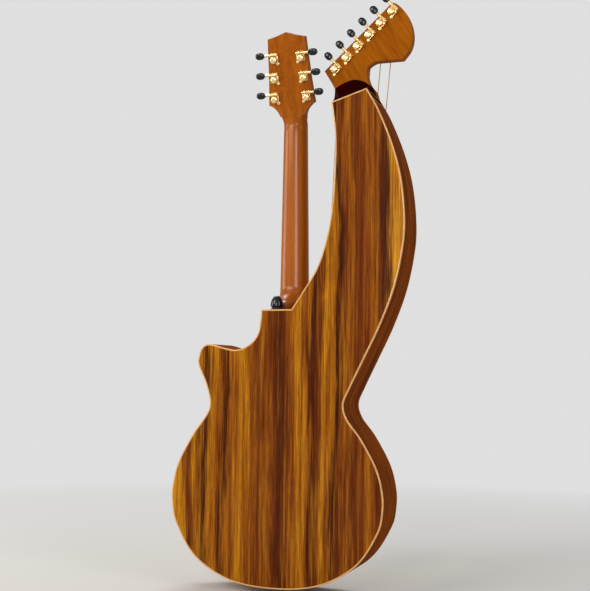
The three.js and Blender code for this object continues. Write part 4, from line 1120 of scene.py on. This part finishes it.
class Seat:
    """A tuner's place: origin on the head's rear face, out towards its button, rear off the face."""

    def __init__(self, origin, out, rear, thickness):
        up = rear.cross(out).normalized()
        self.up = -up if up.z < 0 else up
        self.origin, self.out, self.rear, self.thickness = origin, out, rear, thickness
        turn = Matrix((out, self.up, rear)).transposed()
        self.matrix = Matrix.Translation(origin) @ turn.to_4x4()


def main_seats():
    rear = (lean.to_3x3() @ Vector((0, 1, 0))).normalized()
    (wide, wide_z), (top, top_z) = HEAD_OUTLINE[5], HEAD_OUTLINE[7]
    seats = []
    for side in (-1, 1):
        for share in MAIN_POSTS:
            edge = (wide + (top - wide) * (share - wide_z) / (top_z - wide_z)) * HEAD_HALF
            origin = lean @ Vector((side * (edge - POST_INSET), HEAD_THICK, share * HEAD_LENGTH))
            seats.append(Seat(origin, Vector((side, 0, 0)), rear, HEAD_THICK))
    return seats


def harp_seats():
    out = Vector((-harp_in.x, 0, -harp_in.y))
    seats = []
    for n in range(6):
        spot = harp_edge_start + harp_along * (HARP_FIRST + n * HARP_PITCH) + harp_in * POST_INSET
        origin = Vector((spot.x, HARP_SETBACK + HARP_THICK, spot.y))
        seats.append(Seat(origin, out, Vector((0, 1, 0)), HARP_THICK))
    return seats


def on_side(shape):
    """Turns a lathe's axis from local Z to local X."""
    return shape.moved(Matrix.Rotation(math.pi / 2, 4, "Y"))


def on_shaft(seat):
    return seat.matrix @ Matrix.Translation((0, WORM_DISTANCE, LIFT))


def rounded_patch(half_x, low_y, high_y, corner, steps=5):
    """A rounded rectangle in local X and Y."""
    points = []
    for cx, cy, start in ((half_x, high_y, 0), (-half_x, high_y, 1), (-half_x, low_y, 2), (half_x, low_y, 3)):
        centre = (cx - math.copysign(corner, cx), cy + (corner if cy == low_y else -corner))
        for s in range(steps + 1):
            a = math.pi / 2 * (start + s / steps)
            points.append(Vector((centre[0] + corner * math.cos(a), centre[1] + corner * math.sin(a))))
    return points


def flat_slab(points, low, high, rounding):
    """A slab over local X and Y between two heights."""
    shape = Shape().slab(points, low, high, rounding)
    shape.points = [Vector((p.x, p.z, p.y)) for p in shape.points]
    return shape


def plate_piece(seat):
    """The tuner's sheet with two ears, the bent arm with its screw, and sleeve, washer and nut in front."""
    half = (PLATE_WIDTH + EAR) / 2
    top = WORM_DISTANCE + SHAFT + EAR
    bottom = top - (GEAR_RADIUS + FOOT + WORM_DISTANCE + SHAFT)
    under, face = GAP * 0.2, GAP + SHEET
    shape = flat_slab(rounded_patch(half, bottom, top, 2.2), under, face, 0.25)
    reach = SHAFT + EAR / 2
    arch = [Vector((-reach, 0)), Vector((reach, 0))] + disc(reach, 28, 0, LIFT)[:15]
    for side in (-1, 1):
        ear = Shape().slab(arch, -EAR / 2, EAR / 2, 0.3)
        ear.points = [Vector((p.y + side * EAR_PLACE, p.x + WORM_DISTANCE, p.z + GAP)) for p in ear.points]
        shape.joined(ear)
    left, right = -half - 1.2, -half + 0.5
    arm = [(left, -FOOT_REACH), (right, -FOOT_REACH), (right, WORM_DISTANCE), (left, WORM_DISTANCE)]
    shape.joined(flat_slab([Vector(p) for p in arm], face - 0.2, face + 1.7, 0.5))
    foot = Matrix.Translation((-FOOT_REACH, -FOOT_REACH, 0))
    tab = [(0, under), (FOOT_RADIUS - 0.2, under), (FOOT_RADIUS, GAP + 0.1), (FOOT_RADIUS, face - 0.2),
           (FOOT_RADIUS - 0.3, face + 0.02), (0, face + 0.02)]
    screw = [(0, 1.0), (SCREW, 1.0), (SCREW, 1.7), (SCREW * 0.88, 2.05), (SCREW * 0.55, 2.35), (0, 2.45)]
    front, hole = -seat.thickness, POST + 0.3
    sleeve = [(SLEEVE, GAP), (SLEEVE, front - 1), (hole, front - 1), (hole, GAP)]
    washer = [(hole + 0.1, front - 0.1), (COLLAR_RADIUS, front - 0.1), (COLLAR_RADIUS, front - 0.5),
              (COLLAR_RADIUS - 0.4, front - 0.8), (hole + 0.1, front - 0.8)]
    shape.joined(Shape().lathe(tab, 28).moved(foot)).joined(Shape().lathe(screw, 24).moved(foot))
    shape.joined(Shape().lathe(sleeve, 28)).joined(Shape().lathe(washer))
    shape.joined(flat_slab(disc(COLLAR_RADIUS * 0.82, 6), front - COLLAR_HEIGHT - GAP, front - 0.7, 0.3))
    return shape.moved(seat.matrix)


def gear_piece(seat):
    """The wheel, whose teeth lean with the worm's thread, its domed cap and the string post."""
    outer, root = GEAR_RADIUS + TOOTH, GEAR_RADIUS - TOOTH - TOOTH_CLEAR
    twist = TOOTH_PITCH / (2 * math.pi * WORM_RADIUS) * (GEAR_THICK / 2 / GEAR_RADIUS)
    chamfer = 0.25

    def ring(height, turned, draw):
        points = []
        for middle in around(TEETH):
            for side, share in TOOTH_SHARES:
                radius = (root if side < 0 else outer) - draw
                angle = math.pi / 2 + middle + turned + TOOTH_WIDTH * share / radius
                points.append((radius * math.cos(angle), radius * math.sin(angle), height))
        return points
    low, high = LIFT - GEAR_THICK / 2, LIFT + GEAR_THICK / 2
    shape = Shape().loft([ring(low, twist, chamfer), ring(low + chamfer, twist * 0.83, 0),
                          ring(high - chamfer, -twist * 0.83, 0), ring(high, -twist, chamfer)])
    cap = [(0, -0.2), (5.6, -0.2), (5.6, 0.2), (5.3, 0.55), (4.4, 0.95), (3.1, 1.25), (1.6, 1.45), (0, 1.5)]
    shape.joined(Shape().lathe([(radius, high + rise) for radius, rise in cap]))
    end = -seat.thickness - POST_REACH
    stem = [(0, end), (POST - 0.6, end), (POST, end + 0.6), (POST, end + 4), (POST * 0.82, end + 6),
            (POST * 0.8, end + 8), (POST, end + 10.5), (POST, high), (0, high)]
    return shape.joined(Shape().lathe(stem, 28)).moved(seat.matrix)


def worm_piece(seat):
    """The threaded screw on its shaft, with the collar that the button sits on."""
    outer, root = WORM_RADIUS + TOOTH, WORM_RADIUS - TOOTH - TOOTH_CLEAR
    per_turn, length = 24, TURNS * TOOTH_PITCH
    steps = int(TURNS * per_turn)
    section = [(root * 0.8 if side < 0 else outer, TOOTH_WIDTH * share) for side, share in TOOTH_SHARES]
    rings = []
    for s in range(steps + 1):
        turn = 2 * math.pi * TURNS * (s / steps - 0.5) + math.pi / 2
        along = length * (s / steps - 0.5)
        rings.append([(along + offset, radius * math.sin(turn), radius * math.cos(turn))
                      for radius, offset in section])
    ends = length / 2 + TOOTH_WIDTH
    core = Shape().lathe([(0, -ends), (root, -ends), (root, ends), (0, ends)], 24)
    start, ear_face, button = -EAR_PLACE - EAR, EAR_PLACE + EAR / 2 + 0.2, SHAFT_REACH
    shaft = Shape().lathe([
        (0, start), (SHAFT - 0.3, start), (SHAFT, start + 0.4), (SHAFT, ear_face), (2.5, ear_face),
        (2.9, ear_face + 0.4), (2.9, button - 1.6), (2.6, button - 1.2), (2.0, button - 1.1),
        (2.0, button + 2), (0, button + 2)], 28)
    return Shape().loft(rings).joined(on_side(core)).joined(on_side(shaft)).moved(on_shaft(seat))


def button_piece(seat):
    """The oval button: narrow where the shaft enters, full near its end, a little waisted between."""
    steps, sides, corner = 18, 32, 0.85

    def rounded(half, share):
        return half * math.copysign(abs(share) ** corner, share)
    rings = []
    for s in range(steps + 1):
        t = s / steps
        swell = math.sin(math.pi * min(1.0, (t * 0.93 + 0.05))) ** 0.55
        waist = 1 - 0.1 * math.exp(-((t - 0.5) / 0.22) ** 2)
        half_w = max(BUTTON_WIDTH / 2 * swell * (0.9 + 0.1 * t) * waist * 1.04, 0.05)
        half_t = max(BUTTON_THICK / 2 * math.sin(math.pi * (0.06 + 0.9 * t)) ** 0.5, 0.05)
        neck = max(0.0, 1 - t * 7)
        half_w, half_t = (half * (1 - neck) + BUTTON_NECK * neck for half in (half_w, half_t))
        if s == steps:
            half_w, half_t = 0.3, 0.2
        x = SHAFT_REACH + BUTTON_LENGTH * t
        rings.append([(x, rounded(half_w, math.cos(a)), rounded(half_t, math.sin(a))) for a in around(sides)])
    return Shape().loft(rings).moved(on_shaft(seat))


def make_tuner(label, seat):
    piece(f"{label}_base", plate_piece(seat), [gold], replaced=[f"{label}_plate"])
    piece(f"{label}_wheel", gear_piece(seat), [gold], f"{label}_gear", [f"{label}_gear"])
    piece(f"{label}_screw", worm_piece(seat), [gold], f"{label}_worm", [f"{label}_worm"])
    piece(f"{label}_button", button_piece(seat), [black], f"{label}_worm", flat_angle=60)


main_row, harp_row = main_seats(), harp_seats()
main_order = main_row[:3] + main_row[:2:-1]
for number, seat in enumerate(main_order, 1):
    make_tuner(f"tuner_{number}", seat)
for number, seat in enumerate(harp_row, 1):
    make_tuner(f"harp_tuner_{number}", seat)


# Strings, nuts and bridge
string_turns = turns_tree()
LaidString = namedtuple("LaidString", "name radius route seat wound")
WOUND_STRINGS, ON_TOP = 4, 0.1


def nut_over(radius):
    return -BOARD_THICK - NUT_LIFT - ON_TOP - radius


def bridge_route(x, radius, shift):
    """A string's first three places: in its pin's hole, and over the two edges of the saddle."""
    saddle = SADDLE_Z + shift
    over = -SADDLE_TOP - ON_TOP - radius
    return [Vector((x, -BRIDGE_HEIGHT + 1.0, saddle - PIN_SETBACK + PIN_RADIUS - 0.3)),
            Vector((x, over, saddle - SADDLE_WIDTH / 2)), Vector((x, over, saddle + SADDLE_WIDTH / 2))]


def crossing(x, seat, distance):
    """Where a bass string crosses a line that lies this far in from the harp head's edge."""
    start, end = Vector((x, SADDLE_Z)), Vector((seat.origin.x, seat.origin.z))
    first = (start - harp_edge_start).dot(harp_in)
    last = (end - harp_edge_start).dot(harp_in)
    return start.lerp(end, (first - distance) / (first - last))


def saddle_slope(x):
    return x / STRING_SPREAD * SADDLE_WIDTH


strings = []
for n, radius in enumerate(MAIN_STRINGS):
    share = 0.5 - n / 5
    x, nut_x = -STRING_SPREAD * share, -(NUT_WIDTH - BOARD_THICK) * share
    route = bridge_route(x, radius, saddle_slope(x))
    route += [Vector((nut_x, nut_over(radius), NUT_Z)), Vector((nut_x, nut_over(radius), NUT_Z + NUT_LENGTH))]
    strings.append(LaidString(f"string_{n + 1}", radius, route, main_order[n], n < WOUND_STRINGS))
harp_top, harp_line = HARP_SETBACK - HARP_NUT_HEIGHT, POST_INSET + HARP_NUT_INSET
for n, radius in enumerate(HARP_STRINGS):
    x, seat = -HARP_STRING_START - n * HARP_STRING_PITCH, harp_row[n]
    route = bridge_route(x, radius, 0)
    for step in (HARP_NUT_WIDTH / 2, -HARP_NUT_WIDTH / 2):
        spot = crossing(x, seat, harp_line + step)
        route.append(Vector((spot.x, harp_top - ON_TOP - radius, spot.y)))
    strings.append(LaidString(f"harp_string_{n + 1}", radius, route, seat, True))
main_strings, harp_strings = strings[:len(MAIN_STRINGS)], strings[len(MAIN_STRINGS):]


def make_string(string):
    """One string from its pin over saddle and nut to its post, and the close turns round the post."""
    radius, route, seat = string.radius, string.route, string.seat
    top = -seat.thickness - POST_REACH / 2
    middle = seat.matrix @ Vector((0, 0, top))
    side = (middle - route[-1]).cross(seat.rear).normalized()
    if side.x * middle.x > 0:
        side = -side
    coil, coils = POST + radius * 0.9, 3.0
    meet = middle + side * coil
    points, sides = route + [meet], 10
    rings, uvs, length = [], [], 0.0
    for i, point in enumerate(points):
        before, after = points[max(i - 1, 0)], points[min(i + 1, len(points) - 1)]
        along = (after - before).normalized()
        across = along.cross(Vector((0, 1, 0))).normalized()
        if i:
            length += (point - points[i - 1]).length
        rings.append(round_ring(point, across, across.cross(along), radius, sides))
        uvs += [(length * MM, j * 0.0001) for j in range(sides)]
    shape = Shape().loft(rings)
    metal, slot = (bronze, "wound_string") if string.wound else (steel, "plain_string")
    mesh = grown_mesh("turns", bpy.data.meshes.new("turns"), string_turns, {
        "Turns": coils, "Coil radius": coil * MM, "Rise": coils * radius * 2.05 * MM,
        "Wire radius": radius * MM, "Metal": metal})
    aim = seat.matrix.inverted() @ meet
    turn = Matrix.Rotation(math.atan2(aim.y, aim.x), 4, "Z")
    wrapped = seat.matrix @ Matrix.Translation((0, 0, top)) @ turn
    shape.add([wrapped @ (v.co / MM) for v in mesh.vertices], [list(f.vertices) for f in mesh.polygons])
    uvs += [(0.0004 * i, 0.0) for i in range(len(mesh.vertices))]
    piece(f"{string.name}_wire", shape, [metal], replaced=[string.name], uvs=uvs, flat_angle=60)


for string in strings:
    make_string(string)


# Half of the bridge's outline: shares of its half length and of its depth
BRIDGE_END = [(0.86, -0.5), (0.9, -0.36), (1, -0.3), (1, 0.3), (0.9, 0.36), (0.86, 0.5)]
PIN_HEIGHT, PIN_HEAD_DROP = 4.8, 1.2


def span_of(group):
    """The middle and half the reach of a group of strings at the saddle."""
    places = [string.route[1].x for string in group]
    return (max(places) + min(places)) / 2, (max(places) - min(places)) / 2


def make_bridge():
    middle, half = span_of(strings)
    half, centre = half + BRIDGE_MARGIN, SADDLE_Z - PIN_SETBACK / 2
    edge = [Vector((x * half + middle, z * BRIDGE_DEPTH + centre)) for x, z in BRIDGE_END]
    edge += [Vector((-x * half + middle, z * BRIDGE_DEPTH + centre)) for x, z in reversed(BRIDGE_END)]
    blank = Shape().slab(edge, -BRIDGE_HEIGHT, 0, 1.4)
    piece("bridge_blank", blank, [board_wood], replaced=["bridge"])
    saddles, side = Shape(), SADDLE_WIDTH / 2
    for group, turn in ((main_strings, -math.atan(SADDLE_WIDTH / STRING_SPREAD)), (harp_strings, 0)):
        middle, reach = span_of(group)
        reach += SADDLE_WIDTH * 1.5
        bar = Shape().box((-reach, -SADDLE_TOP, -side), (reach, -BRIDGE_HEIGHT + 2, side), 0.7)
        saddles.joined(bar.moved(swung((middle, 0, SADDLE_Z), turn)))
    piece("saddles", saddles, [bone])
    base = bpy.data.meshes.new("pin_places")
    edges = [string.route[1] for string in strings]
    base.from_pydata([in_frame(p.x, -BRIDGE_HEIGHT, p.z + side - PIN_SETBACK) for p in edges], [], [])
    mesh = grown_mesh("string_pins", base, spots_tree("String pins", pin_shape), {
        "Radius": PIN_RADIUS * MM, "Height": PIN_HEIGHT * MM, "Metal": black})
    shade(mesh, 40)
    finish_piece("string_pins", mesh)


def pin_shape(tree, given):
    """A peg in its hole with a low domed head over it."""
    peg = tree.add("GeometryNodeMeshCylinder", {
        "Vertices": 20, "Radius": given["Radius"], "Depth": tree.math("MULTIPLY", given["Height"], 0.5),
    }).outputs["Mesh"]
    ball = tree.add("GeometryNodeMeshUVSphere", {
        "Segments": 20, "Rings": 10, "Radius": given["Radius"]}).outputs["Mesh"]
    lay = tree.add("GeometryNodeTransform", {"Geometry": peg, "Rotation": (math.pi / 2, 0, 0)})
    head = tree.add("GeometryNodeTransform", {
        "Geometry": ball, "Scale": (1.0, 0.45, 1.0), "Translation": (0, -PIN_HEAD_DROP * MM, 0)})
    both = tree.add("GeometryNodeJoinGeometry", {0: lay.outputs[0]})
    tree.put(both.inputs[0], head.outputs[0])
    return both.outputs[0], None


def make_harp_nut():
    ends = [crossing(s.route[0].x, s.seat, harp_line) for s in (harp_strings[0], harp_strings[-1])]
    middle, reach = (ends[0] + ends[1]) / 2, (ends[0] - ends[1]).length / 2 + HARP_NUT_WIDTH
    side = HARP_NUT_WIDTH / 2
    bar = Shape().box((-reach, harp_top, -side), (reach, HARP_SETBACK - GAP, side), 0.9)
    bar.moved(swung((middle.x, 0, middle.y), -math.atan2(harp_along.y, harp_along.x)))
    piece("harp_nut_blank", bar, [bone], replaced=["harp_nut"])


# The end pin from its foot inside the tail block to its outer face: radius, and place above the tail
END_PIN = [(0, 22), (3.2, 22), (4, 0), (4, -2), (7, -4.4), (7, -7.4), (5.6, -9.8), (4.8, -10.3), (0, -10.3)]
STRAP_PLACE = (6, TAIL_DEPTH / 2 + 25, BODY_LENGTH + GAP)


def make_pins():
    button = Shape().lathe([(r * STRAP_RADIUS, h * STRAP_HEIGHT) for r, h in STRAP_PROFILE], 48)
    button.moved(Matrix.Translation(STRAP_PLACE))
    piece("strap_knob", button, [black], replaced=["strap_button"])
    pin = Shape().lathe(END_PIN, 40).moved(Matrix.Translation((0, TAIL_DEPTH / 2, 0)))
    piece("tail_pin", pin, [black], replaced=["end_pin"])


make_bridge()
make_harp_nut()
make_pins()


# Stage, camera and light
# How bright the backdrop is seen, and how bright it lights the instrument
BACKDROP, SKY_ON_OBJECT = 0.74, 0.2
# The floor in metres, and the distances over which it passes into the backdrop
FLOOR_HEIGHT, FLOOR_REACH, FLOOR_SIDES, GLOW_FROM, GLOW_TO = -0.0108, 9.0, 64, 0.5, 2.0
CAMERA_PLACE, CAMERA_LOOK = (-0.6751, 1.8805, 0.3815), (0.3282, -0.942, 0.0709)
CAMERA_ROLL, SENSOR_WIDTH, LENS = math.radians(0.5), 36, 66.26
WARM, WHITE = (1, 0.86, 0.72), (1, 1, 1)
# Lamps: name, place and aim in metres, width and height, power in watts and colour
LAMPS = [
    ("key", (1.7, 2.6, 2.3), (0, 0, 0.5), (1.6, 1.6), 56, WHITE),
    ("fill", (-2.6, 1.4, 1.2), (-0.1, 0, 0.5), (1.4, 2.0), 26, WHITE),
    ("front", (0.6, -1.3, 2.4), (0, -0.1, 0.5), (1.6, 1.0), 34, WHITE),
    ("neck strip", (-0.2, 2.8, 1.1), (0, 0, 0.7), (0.6, 1.3), 28, WARM),
    ("edge strip", (2.55, 0.9, 1.1), (0, 0, 0.7), (1.1, 1.3), 30, WARM),
]


def seen_plainly(tree):
    """1 for camera, mirror and glass rays, 0 for the rays that light the instrument."""
    path = tree.add("ShaderNodeLightPath").outputs
    seen = tree.math("MAXIMUM", path["Is Camera Ray"], path["Is Glossy Ray"])
    return tree.math("MAXIMUM", seen, path["Is Transmission Ray"])


def make_stage():
    material, tree, shader = new_material("Pale floor")
    place = tree.add("ShaderNodeTexCoord").outputs["Object"]
    cloud = tree.span(tree.noise(place, 1.3, 3.0), 0.3, 0.7)
    tree.put(shader.inputs["Base Color"], tree.mix(cloud, tone(206, 206, 204), tone(210, 210, 208)))
    shader.inputs["Roughness"].default_value = 0.9
    shader.inputs["Specular IOR Level"].default_value = 0.0
    reach = tree.add("ShaderNodeVectorMath", {0: place}, operation="LENGTH").outputs["Value"]
    glow = tree.add("ShaderNodeEmission", {"Color": (1, 1, 1, 1), "Strength": BACKDROP})
    share = tree.math("MULTIPLY", tree.span(reach, GLOW_FROM, GLOW_TO), seen_plainly(tree))
    both = tree.add("ShaderNodeMixShader", {0: share, 1: shader.outputs[0], 2: glow.outputs[0]})
    output = next(node for node in tree.tree.nodes if node.bl_idname == "ShaderNodeOutputMaterial")
    tree.put(output.inputs["Surface"], both.outputs[0])
    mesh = bpy.data.meshes.new("floor")
    edge = [(p.x, p.y, FLOOR_HEIGHT) for p in disc(FLOOR_REACH, FLOOR_SIDES)]
    mesh.from_pydata(edge, [], [range(FLOOR_SIDES)])
    mesh.materials.append(material)
    new_object("floor", mesh)


def aimed(place, look):
    """A camera's or lamp's matrix: at a place, looking along a direction."""
    return Matrix.Translation(place) @ Vector(look).to_track_quat("-Z", "Y").to_matrix().to_4x4()


def make_camera():
    data = bpy.data.cameras.new("camera")
    data.sensor_fit, data.sensor_width, data.lens = "HORIZONTAL", SENSOR_WIDTH, LENS
    camera = new_object("camera", data)
    camera.matrix_world = aimed(CAMERA_PLACE, CAMERA_LOOK) @ Matrix.Rotation(CAMERA_ROLL, 4, "Z")
    bpy.context.scene.camera = camera


def add_lamp(name, place, aim, size, power, colour):
    data = bpy.data.lights.new(name, "AREA")
    data.shape = "RECTANGLE"
    data.size, data.size_y = size
    data.energy, data.color = power, colour
    new_object(name, data).matrix_world = aimed(place, Vector(aim) - Vector(place))


def make_light():
    world = bpy.context.scene.world or bpy.data.worlds.new("world")
    bpy.context.scene.world = world
    world.use_nodes = True
    tree = Tree(world.node_tree)
    strength = tree.span(seen_plainly(tree), 0.0, 1.0, SKY_ON_OBJECT, BACKDROP)
    sky = tree.add("ShaderNodeBackground", {"Color": (1, 1, 1, 1), "Strength": strength})
    tree.add("ShaderNodeOutputWorld", {0: sky.outputs[0]})
    for lamp in LAMPS:
        add_lamp(*lamp)


make_stage()
make_camera()
make_light()
bpy.context.scene.view_settings.view_transform = "Standard"
